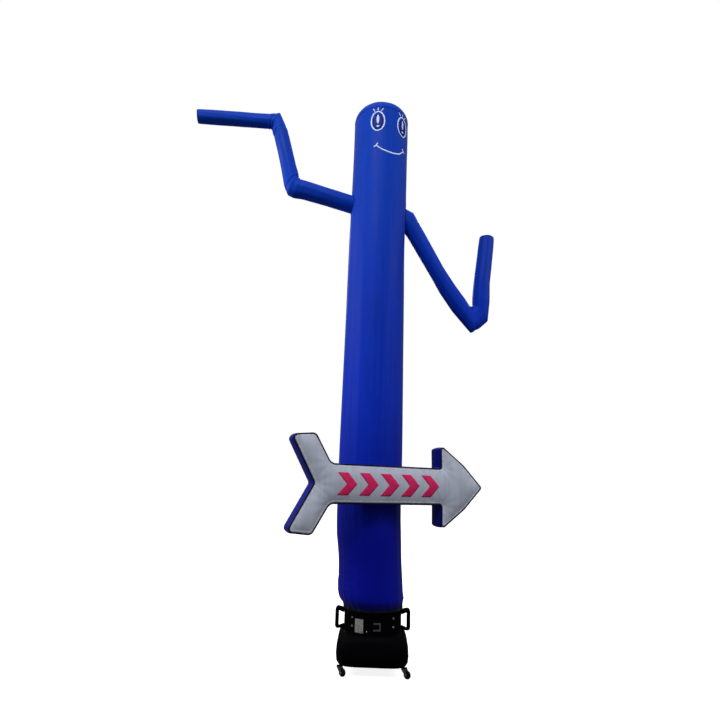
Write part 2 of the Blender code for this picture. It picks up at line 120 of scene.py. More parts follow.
# Creases at the bends: section they centre on, side (0 is the upper or inner edge), reach, depth
LEFT_CREASES = ((4.0, 0.0, 0.060, 0.011), (10.0, pi, 0.050, 0.011), (8.45, pi, 0.020, 0.010))
RIGHT_CREASES = ((7.2, 0.0, 0.070, 0.009), (2.0, 0.0, 0.060, 0.005))
# Sharp folds that run round a sleeve: section they cross, depth
LEFT_FOLDS = ((4.4, 0.0045), (8.45, 0.0040), (10.3, 0.0055))
RIGHT_FOLDS = ((2.0, 0.0025), (7.3, 0.0050))

# Arrow sign
ARROW_HEIGHT = 1.217
ARROW_FRONT = 0.326
ARROW_BACK = 0.186
ARROW_SEAT = 0.2395
ARROW_CROWN = 0.034
ARROW_CROWN_WIDTH = 0.045
ARROW_ROLL = 0.009
ARROW_STEP = 0.014
# Spacing of the gathers along its seam, and how deep its puckers, waves, dents and pulls are
GATHER = 0.036
ARROW_PUCKER = 0.0019
ARROW_WAVES = 0.0016
ARROW_DENTS = 0.0008
ARROW_PULL = 0.0038
# Radius of the front seam's roll, and the two rows of stitches' distances from the seam
ARROW_BEAD = 0.0052
ARROW_STITCHED = (0.0105, 0.0150)
# Corners of the upper half from the tail's notch to the nose: across, up, rounding
ARROW_CORNERS = (
    (-0.536, 0.000, 0.016),
    (-0.708, 0.312, 0.034),
    (-0.530, 0.330, 0.045),
    (-0.415, 0.134, 0.050),
    (0.396, 0.130, 0.010),
    (0.394, 0.304, 0.024),
    (0.590, 0.158, 0.200),
    (0.744, 0.000, 0.024),
)
CHEVRONS = 5
CHEVRON_SPAN = (-0.388, 0.376)
CHEVRON_TALL = 0.146
CHEVRON_ARM = 0.074
CHEVRON_POINT = 0.062

# Face, about the tube from its front: degrees toward +X, height
EYES = ((-29.6, 4.157), (27.8, 4.157))
EYE_SIZE = (0.061, 0.095)
PUPIL = (0.0105, 0.043)
DOT = (0.0125, 0.0085)
LINE = 0.0105
LASH = 0.0068
TICK = 0.022
FACE_LIFT = 0.0012
SMILE = ((-32.5, 3.931), (-24.0, 3.902), (-14.5, 3.882), (3.0, 3.869),
         (16.0, 3.878), (26.0, 3.905), (34.0, 3.941))

# Blower: height, half width, squareness of the outline (2 is round)
BLOWER_TURN = radians(-22)
BLOWER_SHIFT = 0.034
DRUM_RADIUS = 0.199
BLOWER_SECTIONS = (
    (0.0600, 0.208, 5.6),
    (0.0625, 0.220, 5.6),
    (0.0660, 0.228, 5.6),
    (0.0850, 0.240, 5.6),
    (0.1180, 0.2438, 5.6),
    (0.1185, 0.2418, 5.6),
    (0.1225, 0.2418, 5.6),
    (0.1230, 0.2440, 5.6),
    (0.1700, 0.2412, 5.6),
    (0.2100, 0.2340, 4.6),
    (0.2300, 0.2260, 4.0),
    (0.2420, 0.2120, 2.8),
    (0.2470, 0.2010, 2.1),
    (0.2475, 0.1975, 2.0),
    (0.2505, 0.1975, 2.0),
    (0.2510, DRUM_RADIUS, 2.0),
    (0.4550, DRUM_RADIUS, 2.0),
    (0.4590, 0.1970, 2.0),
    (0.4600, 0.1950, 2.0),
)
WHEEL_HALF = 0.0100
WHEEL_DISH = 0.0022
FORK_GAP = 0.0012
FORK_CHEEK = 0.0028
CORNERS = ("front_left", "front_right", "back_left", "back_right")

# Camera
LENS = 26
CAMERA_AZIMUTH = radians(-22)
CAMERA_DISTANCE = 3.95
CAMERA_RISE = 1.20
CAMERA_YAW = radians(1.6)
CAMERA_PITCH = radians(13.7)
CAMERA_ROLL = radians(1.7)

# Stage: the floor's own glow to the camera, and the sky's light from below and above
FLOOR_LIFT = 0.86
SKY_BELOW, SKY_ABOVE = 0.07, 0.50
# Area lights: name, place, what it looks at, size, watts
LIGHTS = (
    ("key", (-3.4, -5.2, 8.4), (0.2, 0.0, 2.6), 3.4, 400.0),
    ("fill", (5.2, -4.2, 5.0), (0.2, 0.0, 2.8), 3.2, 120.0),
    ("left", (-5.4, 1.2, 4.4), (0.2, 0.0, 2.9), 2.4, 195.0),
    ("back", (1.5, 6.0, 6.0), (0.2, 0.0, 2.5), 3.6, 130.0),
)

# Height above which painted light gives the blue its lightest tone, and the near-black painted shade at
# the hem by the foot
PAINTED_LIGHT_HEAD_Z = 4.0
HEM_PAINTED_SHADE = (0.0001, 0.0002, 0.005, 1.0)

# ---------------------------------------------------------------- places from the frame

crown_low, crown_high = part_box("crown_panel")
FIGURE = Vector(((crown_low.x + crown_high.x) / 2 - TUBE_SECTIONS[-1][2],
                 (crown_low.y + crown_high.y) / 2, 0.0))


# ---------------------------------------------------------------- materials

class Nodes:
    """Short calls that add and link the nodes of a tree."""

    def __init__(self, tree):
        self.tree = tree

    def add(self, kind, inputs=None, **settings):
        node = self.tree.nodes.new(kind)
        for key, value in settings.items():
            setattr(node, key, value)
        for key, value in (inputs or {}).items():
            self.put(node.inputs[key], value)
        return node

    def put(self, socket, value):
        if isinstance(value, bpy.types.NodeSocket):
            self.tree.links.new(value, socket)
        else:
            socket.default_value = value

    def spread(self, value, low, high, start=0.0, end=1.0):
        """Brings the range from start to end onto the one from low to high."""
        wanted = {"Value": value, "From Min": start, "From Max": end, "To Min": low, "To Max": high}
        return self.add("ShaderNodeMapRange", wanted).outputs["Result"]


class Finish(Nodes):
    """A material under construction."""

    def __init__(self, name, roughness=0.5, metallic=0.0, **constants):
        self.material = bpy.data.materials.new(name)
        self.material.use_nodes = True
        super().__init__(self.material.node_tree)
        self.shader = self.tree.nodes["Principled BSDF"]
        self.shader.inputs["Roughness"].default_value = roughness
        self.shader.inputs["Metallic"].default_value = metallic
        for socket, value in constants.items():
            self.shader.inputs[socket.replace("_", " ")].default_value = value

    def place(self, scale):
        """World position, stretched by a scale for each axis."""
        spot = self.add("ShaderNodeNewGeometry").outputs["Position"]
        return self.add("ShaderNodeMapping", {"Vector": spot, "Scale": scale}).outputs["Vector"]

    def noise(self, vector, scale, detail=3.0, rough=0.55):
        wanted = {"Vector": vector, "Scale": scale, "Detail": detail, "Roughness": rough}
        return self.add("ShaderNodeTexNoise", wanted).outputs["Fac"]

    def blend(self, factor, first, second):
        """Mix of two colours, whose sockets are the mix node's sixth and seventh."""
        wanted = {0: factor, 6: first, 7: second}
        return self.add("ShaderNodeMix", wanted, data_type="RGBA").outputs[2]

    def tint(self, colour, value):
        wanted = {"Color": colour, "Value": value}
        return self.add("ShaderNodeHueSaturation", wanted).outputs["Color"]

    def bump(self, height, distance, strength=1.0, under=None):
        wanted = {"Height": height, "Distance": distance, "Strength": strength}
        if under is not None:
            wanted["Normal"] = under
        return self.add("ShaderNodeBump", wanted).outputs["Normal"]

    def weave(self, period):
        """Raised threads of a ripstop grid, from the cloth's own layout."""
        layout = self.add("ShaderNodeUVMap", uv_map="layout").outputs["UV"]
        bands = []
        for direction in ("X", "Y"):
            wave = self.add("ShaderNodeTexWave", {"Vector": layout, "Scale": 0.314 / period},
                            wave_type="BANDS", bands_direction=direction)
            bands.append(self.spread(wave.outputs["Fac"], 0.0, 1.0, 0.86, 1.0))
        return self.add("ShaderNodeMath", {0: bands[0], 1: bands[1]}, operation="MAXIMUM").outputs[0]

    def finish(self, colour=None, roughness=None, normal=None):
        for socket, value in (("Base Color", colour), ("Roughness", roughness), ("Normal", normal)):
            if value is not None:
                self.put(self.shader.inputs[socket], value)
        return self.material


def nylon(name, head, upper, lower, low_z=0.85, high_z=1.75, sheen=0.04, gloss=0.08):
    """Coated nylon: ripstop grid, soft crumple, faint streaks; painted shade darkens it toward the foot,
    to near black at the hem, and painted light lightens it at the head.
    """
    cloth = Finish(name, Specular_IOR_Level=gloss, Sheen_Weight=sheen, Sheen_Roughness=0.45)
    cloth.shader.inputs["Sheen Tint"].default_value = (0.75, 0.80, 1.0, 1.0)
    spot = cloth.add("ShaderNodeNewGeometry").outputs["Position"]
    height = cloth.add("ShaderNodeSeparateXYZ", {"Vector": spot}).outputs["Z"]
    # Painted shade: from high_z down to low_z the colour goes from the upper tone to the darker lower one
    climb = cloth.spread(height, 0.0, 1.0, low_z, high_z)
    base = cloth.blend(climb, (*lower, 1.0), (*upper, 1.0))
    # Painted light: above high_z the colour goes toward the lighter head tone
    base = cloth.blend(cloth.spread(height, 0.0, 1.0, high_z, PAINTED_LIGHT_HEAD_Z), base, (*head, 1.0))
    # Painted shade: the lowest few centimetres above the foot go to a near-black navy
    base = cloth.blend(cloth.spread(height, 0.0, 1.0, FOOT + 0.010, FOOT + 0.056), HEM_PAINTED_SHADE, base)
    cloudy = cloth.noise(cloth.place((1.0, 1.0, 0.45)), 5.5, 4.0)
    streaks = cloth.noise(cloth.place((1.0, 1.0, 0.05)), 34.0, 2.0)
    mixed = cloth.add("ShaderNodeMath", {0: cloudy, 1: streaks}, operation="ADD").outputs[0]
    base = cloth.tint(base, cloth.spread(mixed, 0.86, 1.14, 0.60, 1.40))
    rough = cloth.spread(cloudy, 0.44, 0.60, 0.30, 0.70)
    crumple = cloth.noise(cloth.place((1.0, 1.0, 0.30)), 26.0, 5.0, 0.62)
    normal = cloth.bump(crumple, 0.0022, 0.55)
    normal = cloth.bump(cloth.weave(0.006), 0.00012, 0.35, normal)
    return cloth.finish(base, rough, normal)


def printed(name, colour, spread=0.12):
    """Ink or thin film on the cloth: slightly uneven in tone and gloss."""
    ink = Finish(name, Specular_IOR_Level=0.10)
    cloudy = ink.noise(ink.place((1.0, 1.0, 1.0)), 40.0, 4.0)
    base = ink.tint((*colour, 1.0), ink.spread(cloudy, 1.0 - spread, 1.0 + spread, 0.30, 0.70))
    rough = ink.spread(cloudy, 0.38, 0.56, 0.30, 0.70)
    grain = ink.noise(ink.place((1.0, 1.0, 1.0)), 900.0, 1.0)
    return ink.finish(base, rough, ink.bump(grain, 0.00010, 0.4))


def thread(name, colour):
    """Sewing thread: fine twist across each stitch."""
    yarn = Finish(name, Sheen_Weight=0.2, Specular_IOR_Level=0.3)
    twist = yarn.noise(yarn.place((1.0, 1.0, 1.0)), 1400.0, 1.0)
    base = yarn.tint((*colour, 1.0), yarn.spread(twist, 0.75, 1.15, 0.35, 0.65))
    return yarn.finish(base, 0.75, yarn.bump(twist, 0.0002, 0.6))


def moulded(name, colour, dust=0.0008):
    """Moulded plastic: fine grain, scuffs that change its gloss, dust where it faces up."""
    shell = Finish(name, Specular_IOR_Level=0.020)
    grain = shell.noise(shell.place((1.0, 1.0, 1.0)), 1100.0, 1.5)
    scuff = shell.noise(shell.place((1.0, 1.0, 0.35)), 30.0, 5.0, 0.65)
    facing = shell.add("ShaderNodeNewGeometry").outputs["Normal"]
    upward = shell.add("ShaderNodeSeparateXYZ", {"Vector": facing}).outputs["Z"]
    lying = shell.spread(upward, 0.0, 1.0, 0.25, 1.0)
    share = shell.add("ShaderNodeMath", {0: lying, 1: scuff}, operation="MULTIPLY").outputs[0]
    dusty = (*(dust + channel for channel in colour), 1.0)
    base = shell.blend(shell.spread(share, 0.0, 0.9, 0.10, 0.75), (*colour, 1.0), dusty)
    rough = shell.spread(scuff, 0.46, 0.66, 0.30, 0.70)
    return shell.finish(base, rough, shell.bump(grain, 0.00025, 0.5))


def metal(name, colour, roughness, metallic=1.0, brush=(1.0, 1.0, 14.0), mottle=0.15):
    """Plated or painted sheet metal with a soft brushed grain and a mottled tone."""
    sheet = Finish(name, metallic=metallic)
    cloudy = sheet.noise(sheet.place((1.0, 1.0, 1.0)), 70.0, 4.0, 0.6)
    lines = sheet.noise(sheet.place(brush), 260.0, 2.0)
    base = sheet.tint((*colour, 1.0), sheet.spread(cloudy, 1.0 - mottle, 1.0 + mottle, 0.32, 0.68))
    rough = sheet.spread(lines, roughness * 0.75, roughness * 1.3, 0.35, 0.65)
    return sheet.finish(base, rough, sheet.bump(lines, 0.00012, 0.5))


def rubber(name, colour):
    """Dark rubber with dirt worked into its grain."""
    tyre = Finish(name, Specular_IOR_Level=0.12)
    grain = tyre.noise(tyre.place((1.0, 1.0, 1.0)), 700.0, 2.0)
    dirt = tyre.noise(tyre.place((1.0, 1.0, 1.0)), 60.0, 5.0, 0.65)
    dusty = (0.006, 0.0055, 0.005, 1.0)
    base = tyre.blend(tyre.spread(dirt, 0.0, 0.8, 0.45, 0.75), (*colour, 1.0), dusty)
    return tyre.finish(base, tyre.spread(dirt, 0.6, 0.85), tyre.bump(grain, 0.0003, 0.5))


# The tube's blue nylon: lighter at the head as painted light, navy toward the foot as painted shade
BLUE = nylon("blue_nylon", (0.0008, 0.0440, 0.440), (0.0002, 0.0235, 0.465), (0.0002, 0.0034, 0.275))
# The sign's back and side strip: the tube's blue nylon, darkened as painted shade
BLUE_ARROW = nylon("blue_nylon_sign_painted_shade", *[(0.0004, 0.0045, 0.200)] * 3)
WHITE = nylon("white_nylon", *[(0.440, 0.478, 0.590)] * 3, gloss=0.25)
# The crown seam's roll in the head's lighter tone: painted light over the shade it sits in under the
# crown's edge
SEAM_BLUE = nylon("blue_seam", *[(0.0008, 0.0440, 0.440)] * 3)
END_SEAM = nylon("arm_seam", *[(0.0004, 0.0060, 0.170)] * 3)
# Near-black navy of the sign's seam rolls: painted shade of the side strip where it rolls out past the
# seam
SEAM_ROLL_SHADE = nylon("seam_roll_painted_shade", *[(0.0006, 0.0012, 0.018)] * 3)
FACE_WHITE = printed("face_white", (0.66, 0.76, 0.98))
FACE_DARK = printed("face_dark", (0.0006, 0.0090, 0.230))
CHEVRON_RED = printed("chevron_red", (0.640, 0.020, 0.120))
THREAD_BLUE = thread("blue_thread", (0.002, 0.022, 0.300))
# Thread of the hem stitches, painted near black to match the painted shade at the hem
HEM_THREAD_SHADED = thread("hem_thread_painted_shade", (0.0004, 0.0008, 0.010))
THREAD_WHITE = thread("white_thread", (0.86, 0.88, 0.92))
BLACK = moulded("black_plastic", (0.0011, 0.0006, 0.0012))
LABEL = metal("label_aluminium", (0.235, 0.235, 0.24), 0.50, 0.2, (14.0, 14.0, 1.0), 0.45)
BRACKET = metal("bracket_grey", (0.055, 0.052, 0.062), 0.50, 0.3)
STEEL = metal("bright_steel", (0.26, 0.26, 0.27), 0.32)
ZINC = metal("caster_zinc", (0.20, 0.20, 0.21), 0.17)
RUBBER = rubber("caster_rubber", (0.0014, 0.0014, 0.0015))


# ---------------------------------------------------------------- mesh helpers

def smooth_read(rows, at):
    """Monotone cubic reading of a table's other columns at values of its first."""
    table = np.array(rows, float)
    keys, values = table[:, 0], table[:, 1:]
    step = np.diff(keys)[:, None]
    slope = np.diff(values, axis=0) / step
    same = slope[1:] * slope[:-1] > 0
    total = np.where(same, slope[1:] + slope[:-1], 1.0)
    tangent = np.zeros_like(values)
    tangent[1:-1] = np.where(same, 2 * slope[1:] * slope[:-1] / total, 0.0)
    tangent[0], tangent[-1] = slope[0], slope[-1]
    at = np.clip(np.asarray(at, float), keys[0], keys[-1])
    low = np.clip(np.searchsorted(keys, at, side="right") - 1, 0, len(keys) - 2)
    width = step[low]
    t = (at - keys[low])[..., None] / width
    return ((2 * t ** 3 - 3 * t ** 2 + 1) * values[low]
            + (t ** 3 - 2 * t ** 2 + t) * width * tangent[low]
            + (3 * t ** 2 - 2 * t ** 3) * values[low + 1]
            + (t ** 3 - t ** 2) * width * tangent[low + 1])


def firm_read(rows, at, firm):
    """The smooth reading mixed with a straight one, for cloth that bends at a crease."""
    table = np.array(rows, float)
    straight = np.stack([np.interp(at, table[:, 0], column) for column in table[:, 1:].T], axis=-1)
    return (1 - firm) * smooth_read(rows, at) + firm * straight


def ease(value, start, end):
    """0 before start, 1 after end, smooth in between."""
    t = np.clip((value - start) / (end - start), 0.0, 1.0)
    return t * t * (3 - 2 * t)


def hill(off, width):
    """1 in the middle, falling away evenly on both sides."""
    return np.exp(-(off / width) ** 2)


def wrapped(angle):
    """The angle brought between minus and plus half a turn."""
    return (angle + pi) % (2 * pi) - pi


def round_turns(count):
    """Even angles round a full turn."""
    return 2 * pi * np.arange(count) / count


def grid(points, closed=True, looped=False):
    """Quads over rows of points, and each quad's corners as (column, row) steps."""
    rows, columns = points.shape[:2]
    faces, layout = [], []
    for row in range(rows if looped else rows - 1):
        here, above = row * columns, (row + 1) % rows * columns
        for column in range(columns if closed else columns - 1):
            after = (column + 1) % columns
            faces.append((here + column, here + after, above + after, above + column))
            layout.append(((column, row), (column + 1, row), (column + 1, row + 1), (column, row + 1)))
    return points.reshape(-1, 3), faces, layout


def capped(rows):
    """Rings of points as faces, with a flat face over each end."""
    verts, faces, _ = grid(rows)
    sides = rows.shape[1]
    last = len(verts) - sides
    faces += [tuple(reversed(range(sides))), tuple(range(last, last + sides))]
    return verts, faces


def closed_over(rows, tip):
    """Rings of points as faces, the last ring closed to a tip."""
    verts, faces, _ = grid(rows)
    top, columns = len(verts), rows.shape[1]
    faces += [(top - columns + i, top - columns + (i + 1) % columns, top) for i in range(columns)]
    return np.vstack([verts, tip]), faces


def joined(parts):
    """One list of points and faces from several."""
    verts, faces = [], []
    for part_verts, part_faces in parts:
        start = len(verts)
        verts += [tuple(float(c) for c in v) for v in part_verts]
        faces += [tuple(start + i for i in face) for face in part_faces]
    return verts, faces


def piece(name, verts, faces, finish, slot, layout=None, spacing=(0.01, 0.01), body="root",
          outward=None, replaces=(), sharp=45.0):
    """One visible piece in the row frame, riding on its body."""
    mesh = bpy.data.meshes.new(name)
    mesh.from_pydata([tuple(float(c) for c in v) for v in verts], [], faces)
    uv = mesh.uv_layers.new(name="layout")
    if layout is not None:
        steps = [corner for face in layout for corner in face]
        uv.data.foreach_set("uv", [c * s for corner in steps for c, s in zip(corner, spacing)])
    else:
        flat = []
        for loop in mesh.loops:
            spot = mesh.vertices[loop.vertex_index].co
            flat += [spot.x + 0.5 * spot.y, spot.z]
        uv.data.foreach_set("uv", flat)
    shape = bmesh.new()
    shape.from_mesh(mesh)
    if outward is None:
        bmesh.ops.recalc_face_normals(shape, faces=shape.faces)
    else:
        total = sum(f.normal.dot(outward(f.calc_center_median())) * f.calc_area()
                    for f in shape.faces)
        if total < 0:
            bmesh.ops.reverse_faces(shape, faces=shape.faces)
    shape.to_mesh(mesh)
    shape.free()
    mesh.materials.append(finish)
    mesh.shade_smooth()
    mesh.set_sharp_from_angle(angle=radians(sharp))
    thing = bpy.data.objects.new(name, mesh)
    bpy.context.collection.objects.link(thing)
    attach(thing, body)
    if replaces:
        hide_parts(*replaces)
    return thing


def thicken(thing, thickness=CLOTH, offset=-1.0):
    """Gives an open form the cloth's thickness: inward, or outward with an offset of 1."""
    solid = thing.modifiers.new("Thickness", "SOLIDIFY")
    solid.thickness = thickness
    solid.offset = offset
    solid.use_rim = True
    solid.use_even_offset = False
    return thing


def bead(path, radius, sides=8):
    """Round roll of cloth along a closed path of points."""
    path = np.asarray(path, float)
    spokes = path - path.mean(axis=0)
    flat_normal = np.cross(spokes, np.roll(spokes, -1, axis=0)).sum(axis=0)
    ahead = np.roll(path, -1, axis=0) - np.roll(path, 1, axis=0)
    side = np.cross(ahead, flat_normal)
    top = np.cross(side, ahead)
    side /= np.linalg.norm(side, axis=1)[:, None]
    top /= np.linalg.norm(top, axis=1)[:, None]
    rings = [path + radius * (cos(turn) * side + sin(turn) * top) for turn in round_turns(sides)]
    return grid(np.stack(rings), looped=True)[:2]


def along(path, spacing, closed=True):
    """Even spots on a path, with the direction it runs in at each."""
    path = np.asarray(path, float)
    if closed:
        path = np.vstack([path, path[:1]])
    reach = np.concatenate([[0.0], np.cumsum(np.linalg.norm(np.diff(path, axis=0), axis=1))])
    count = max(2, int(reach[-1] / spacing))
    at = (np.arange(count) + 0.5) * reach[-1] / count
    spots = np.stack([np.interp(at, reach, path[:, axis]) for axis in range(3)], axis=1)
    ahead = np.stack([np.interp(at + 0.001, reach, path[:, axis]) for axis in range(3)], axis=1) - spots
    return spots, ahead / np.maximum(np.linalg.norm(ahead, axis=1), 1e-9)[:, None]


# A stitch from end to end: place along it, width, height; and across it: place, own height
STITCH_LENGTHWISE = ((-1.0, 0.45, 0.2), (-0.6, 1.0, 1.0), (0.6, 1.0, 1.0), (1.0, 0.45, 0.2))
STITCH_ACROSS = ((-1.0, False), (-0.6, True), (0.6, True), (1.0, False))
STITCH_SUNK = -0.3


def stitches(path, outward, spacing=0.009, length=0.0062, width=0.0016, rise=0.0010, closed=True):
    """A run of short rounded stitches that lie on a surface."""
    parts = []
    for spot, run in zip(*along(path, spacing, closed)):
        out = np.array(outward(Vector(spot)))
        across = np.cross(run, out)
        across /= max(np.linalg.norm(across), 1e-9)
        rings = []
        for lengthwise, wide, tall in STITCH_LENGTHWISE:
            middle = spot + run * lengthwise * length / 2
            rings.append([middle + across * sideways * wide * width / 2
                          + out * rise * (tall if on_top else STITCH_SUNK)
                          for sideways, on_top in STITCH_ACROSS])
        parts.append(capped(np.array(rings)))
    return joined(parts)


def from_axis(spot):
    """Level direction away from the figure's axis."""
    return Vector((spot.x - FIGURE.x, spot.y - FIGURE.y, 0.0)).normalized()


# ---------------------------------------------------------------- tube and crown

TUBE_COLUMNS = 180
SEAM_ANGLES = (radians(-156), radians(24))
# Arm roots on the tube: angle, height
ARM_ROOTS = ((pi - radians(14), 3.492), (radians(-14), 3.425))
# Upright flutes of the cloth: how many round the tube, share, lean with height, start
FLUTES = ((11, 0.45, 0.595, 0.4), (17, 0.40, -0.805, 0.0), (27, 0.35, 1.085, 2.0), (41, 0.25, -0.42, 0.0))
FLUTE_DEPTH = 0.0011
SWAY_DEPTH = 0.0016
PLEAT_DEPTH = 0.0034
TUCK_ANGLE = radians(165)
TUCK_DEPTH = 0.003
HEM_DEPTH = 0.0007
PUCKER_DEPTH = 0.0022
SEAM_RIDGE = 0.0016
PULL_DEPTH = 0.0030
DENT_DEPTH = 0.0010


def flutes(angle, height):
    """Soft upright waves, deeper in some places than in others, and a slow sway."""
    waves = sum(share * np.sin(count * angle + lean * height + start)
                for count, share, lean, start in FLUTES)
    swell = 0.5 + 0.5 * np.sin(1.9 * height + 2.0 * np.sin(angle))
    sway = np.sin(2.6 * height + 3 * angle) * np.sin(1.1 * height - 2 * angle + 1.0)
    return FLUTE_DEPTH * waves * (0.5 + swell) + SWAY_DEPTH * sway


def foot_relief(angle, height):
    """Pleats where the tube is drawn in to the drum, the slack cloth's tuck, and the hem."""
    fold = 0.5 + 0.5 * np.sin(23 * angle + 1.6 * np.sin(3 * angle) + 0.9 * np.sin(5 * angle + 1))
    pleats = PLEAT_DEPTH * (1 - ease(height, 0.410, 0.520)) * fold ** 1.6
    slack = hill(wrapped(angle - TUCK_ANGLE), 0.75)
    bulge = hill(height - 0.530 + 0.05 * np.sin(angle * 2), 0.030)
    tuck = TUCK_DEPTH * bulge - 2 / 3 * TUCK_DEPTH * hill(height - 0.585, 0.022)
    hem = HEM_DEPTH * (1 - ease(height, FOOT + 0.012, FOOT + 0.015))
    return pleats + slack * tuck + hem


def rim_gathers(angle, start=0.0):
    """Close, slightly uneven gathers where the rim is sewn to the crown."""
    return np.sin(46 * angle + 1.4 * np.sin(4 * angle) + start)


def seam_relief(angle, height):
    """Puckers of the rim, and each upright seam's ridge with short puckers beside it."""
    near_rim = np.exp(-(RIM - height) / 0.035)
    out = PUCKER_DEPTH * near_rim * rim_gathers(angle)
    for seam in SEAM_ANGLES:
        off = wrapped(angle - seam) * MEAN_RADIUS
        out += SEAM_RIDGE * hill(off, 0.0045)
        out += 0.0009 * hill(off, 0.03) * np.sin(2 * pi * height / 0.042)
    return out


def pull_relief(angle, height):
    """Creases that the arms pull in the cloth, and the arrow's dent with creases around it."""
    above = height - ARROW_HEIGHT
    front = hill(wrapped(angle + pi / 2), 0.8)
    creases = 0.0012 * hill(above, 0.34) * np.sin(2 * pi * height / 0.11)
    out = front * (creases - DENT_DEPTH * hill(above, 0.16))
    for root, rise in ARM_ROOTS:
        side = wrapped(angle - root) * MEAN_RADIUS
        up = height - rise
        far = np.hypot(side, up)
        pulls = np.sin(13 * np.arctan2(up, side) + 0.6) * ease(far, 0.02, 0.07)
        out += PULL_DEPTH * pulls * np.exp(-np.maximum(far - 0.075, 0.0) / 0.055)
    return out


def ripple(angle, height):
    """How far the tube's cloth stands out from its round sections."""
    return (flutes(angle, height) + foot_relief(angle, height)
            + seam_relief(angle, height) + pull_relief(angle, height))


def about_axis(shift, reach, angle, height):
    """Row-frame points at a distance from the tube's shifted axis."""
    return np.stack([FIGURE.x + shift + reach * np.cos(angle),
                     FIGURE.y + reach * np.sin(angle), height], axis=-1)


def tube_point(angle, height, lift=0.0):
    """Points on the outside of the tube's cloth, in the row frame."""
    angle, height = np.broadcast_arrays(np.asarray(angle, float), np.asarray(height, float))
    radius, shift = np.moveaxis(smooth_read(TUBE_SECTIONS, height), -1, 0)
    return about_axis(shift, radius + ripple(angle, height) + lift, angle, height)


def tube_heights():
    """Heights of the tube's rows: close together at the foot and at the rim."""
    fine = np.arange(FOOT, 0.66, 0.006)
    middle = np.arange(0.66, RIM - 0.12, 0.020)
    rim = np.linspace(RIM - 0.12, RIM, 16)
    return np.concatenate([fine, middle, rim])


def make_tube():
    """The tube's cloth, laid out flat in metres for its weave."""
    heights = tube_heights()
    points = tube_point(round_turns(TUBE_COLUMNS)[None, :], heights[:, None])
    verts, faces, layout = grid(points)
    turn = 2 * pi * MEAN_RADIUS / TUBE_COLUMNS
    layout = [tuple((column * turn, heights[row]) for column, row in face) for face in layout]
    tube = piece("tube_cloth", verts, faces, BLUE, "nylon_blue", layout, (1.0, 1.0),
                 outward=from_axis, replaces=("body_tube",))
    thicken(tube)
    return tube


def make_crown():
    """Shallow dome that springs from the tube's puckered rim."""
    radius, shift = TUBE_SECTIONS[-1][1:]
    angles = round_turns(TUBE_COLUMNS)
    edge = ripple(angles, np.full(TUBE_COLUMNS, RIM))
    base = RIM + SEAM_GAP
    rise = CROWN_RISE - 0.001
    rows = []
    for climb in np.linspace(0.0, 0.5 * pi, 30)[:-1]:
        near = np.exp(-climb / 0.16)
        soft = 0.0016 * sin(climb * 2) * np.sin(5 * angles + 1) + 0.0010 * np.sin(9 * angles + 3 * climb)
        reach = cos(climb) * (radius + near * edge + soft * sin(climb))
        gather = sin(min(climb * 6, pi / 2)) * rim_gathers(angles, 1.0)
        height = base + rise * sin(climb) + 0.0020 * near * gather
        rows.append(about_axis(shift, reach, angles, height))
    verts, faces = closed_over(np.stack(rows), (FIGURE.x + shift, FIGURE.y, base + rise))
    centre = Vector((FIGURE.x + shift, FIGURE.y, RIM - 0.2))
    crown = piece("crown_cloth", verts, faces, BLUE, "nylon_blue",
                  outward=lambda spot: spot - centre, replaces=("crown_panel",))
    thicken(crown)

    seam = tube_point(angles, np.full(TUBE_COLUMNS, RIM), 0.0008) + np.array((0.0, 0.0, 0.0004))
    piece("crown_seam", *bead(seam, 0.0011), SEAM_BLUE, "nylon_blue")
    return crown


def make_tube_stitches():
    """Stitches round the rim and the hem, and beside the two upright seams."""
    angles = round_turns(TUBE_COLUMNS)
    rims = [tube_point(angles, np.full(TUBE_COLUMNS, height), 0.0004)
            for height in (RIM - 0.010, FOOT + 0.013, FOOT + 0.004)]
    hem = [stitches(ring, from_axis) for ring in rims[1:]]
    # The hem's stitches take the near-black painted shade of the hem
    piece("hem_stitches", *joined(hem), HEM_THREAD_SHADED, "nylon_blue")
    runs = [stitches(rims[0], from_axis)]
    heights = tube_heights()[3:-3]
    for seam in SEAM_ANGLES:
        for side in (-0.028, 0.028):
            line = tube_point(np.full(len(heights), seam + side), heights, 0.0003)
            runs.append(stitches(line, from_axis, spacing=0.012, closed=False))
    piece("tube_stitches", *joined(runs), THREAD_BLUE, "nylon_blue")


# ---------------------------------------------------------------- arms

ARM_SIDES = 56
ARM_STEP = 0.0065
ARM_RADIUS = 0.069
ARM_SEAM = 0.0022
END_GATHERS = 19
END_PUCKER = 0.0016
END_DRAWN_IN = 0.0045


def sleeve_relief(at, angles, reach, creases, folds, seed):
    """How far a sleeve's cloth stands out on each side, at that distance along it."""
    out = (0.0010 * np.sin(5 * angles + 4.0 * at + seed) + 0.0008 * np.sin(9 * angles - 6.0 * at)
           + 0.0006 * np.sin(21.0 * at + 2 * angles + seed) * np.sin(8.0 * at))
    out = out * ease(at, 0.0, 0.25)
    sections = np.arange(len(reach))
    for section, side, wide, depth in creases:
        off = at - np.interp(section, sections, reach)
        near = depth * hill(off, wide)
        bent = 2 * pi * (off + 0.010 * np.cos(2 * angles + seed))
        facing = np.maximum(np.cos(wrapped(angles - side)), 0.0) ** 1.3
        gathers = 0.5 + 0.5 * np.cos(bent / 0.034)
        out = out - near * facing * gathers ** 1.5
        out = out + 0.18 * near * np.sin(angles - side) ** 2 * np.cos(bent / 0.052)
    for section, depth in folds:
        bent = at - np.interp(section, sections, reach) + 0.012 * np.sin(angles + seed)
        out = out + depth * (0.4 * hill(bent, 0.022) - hill(bent, 0.0075))
    ahead = reach[-1] - at
    out = out + END_PUCKER * np.exp(-ahead / 0.022) * np.sin(END_GATHERS * angles)
    return out - END_DRAWN_IN * np.exp(-ahead / 0.008)


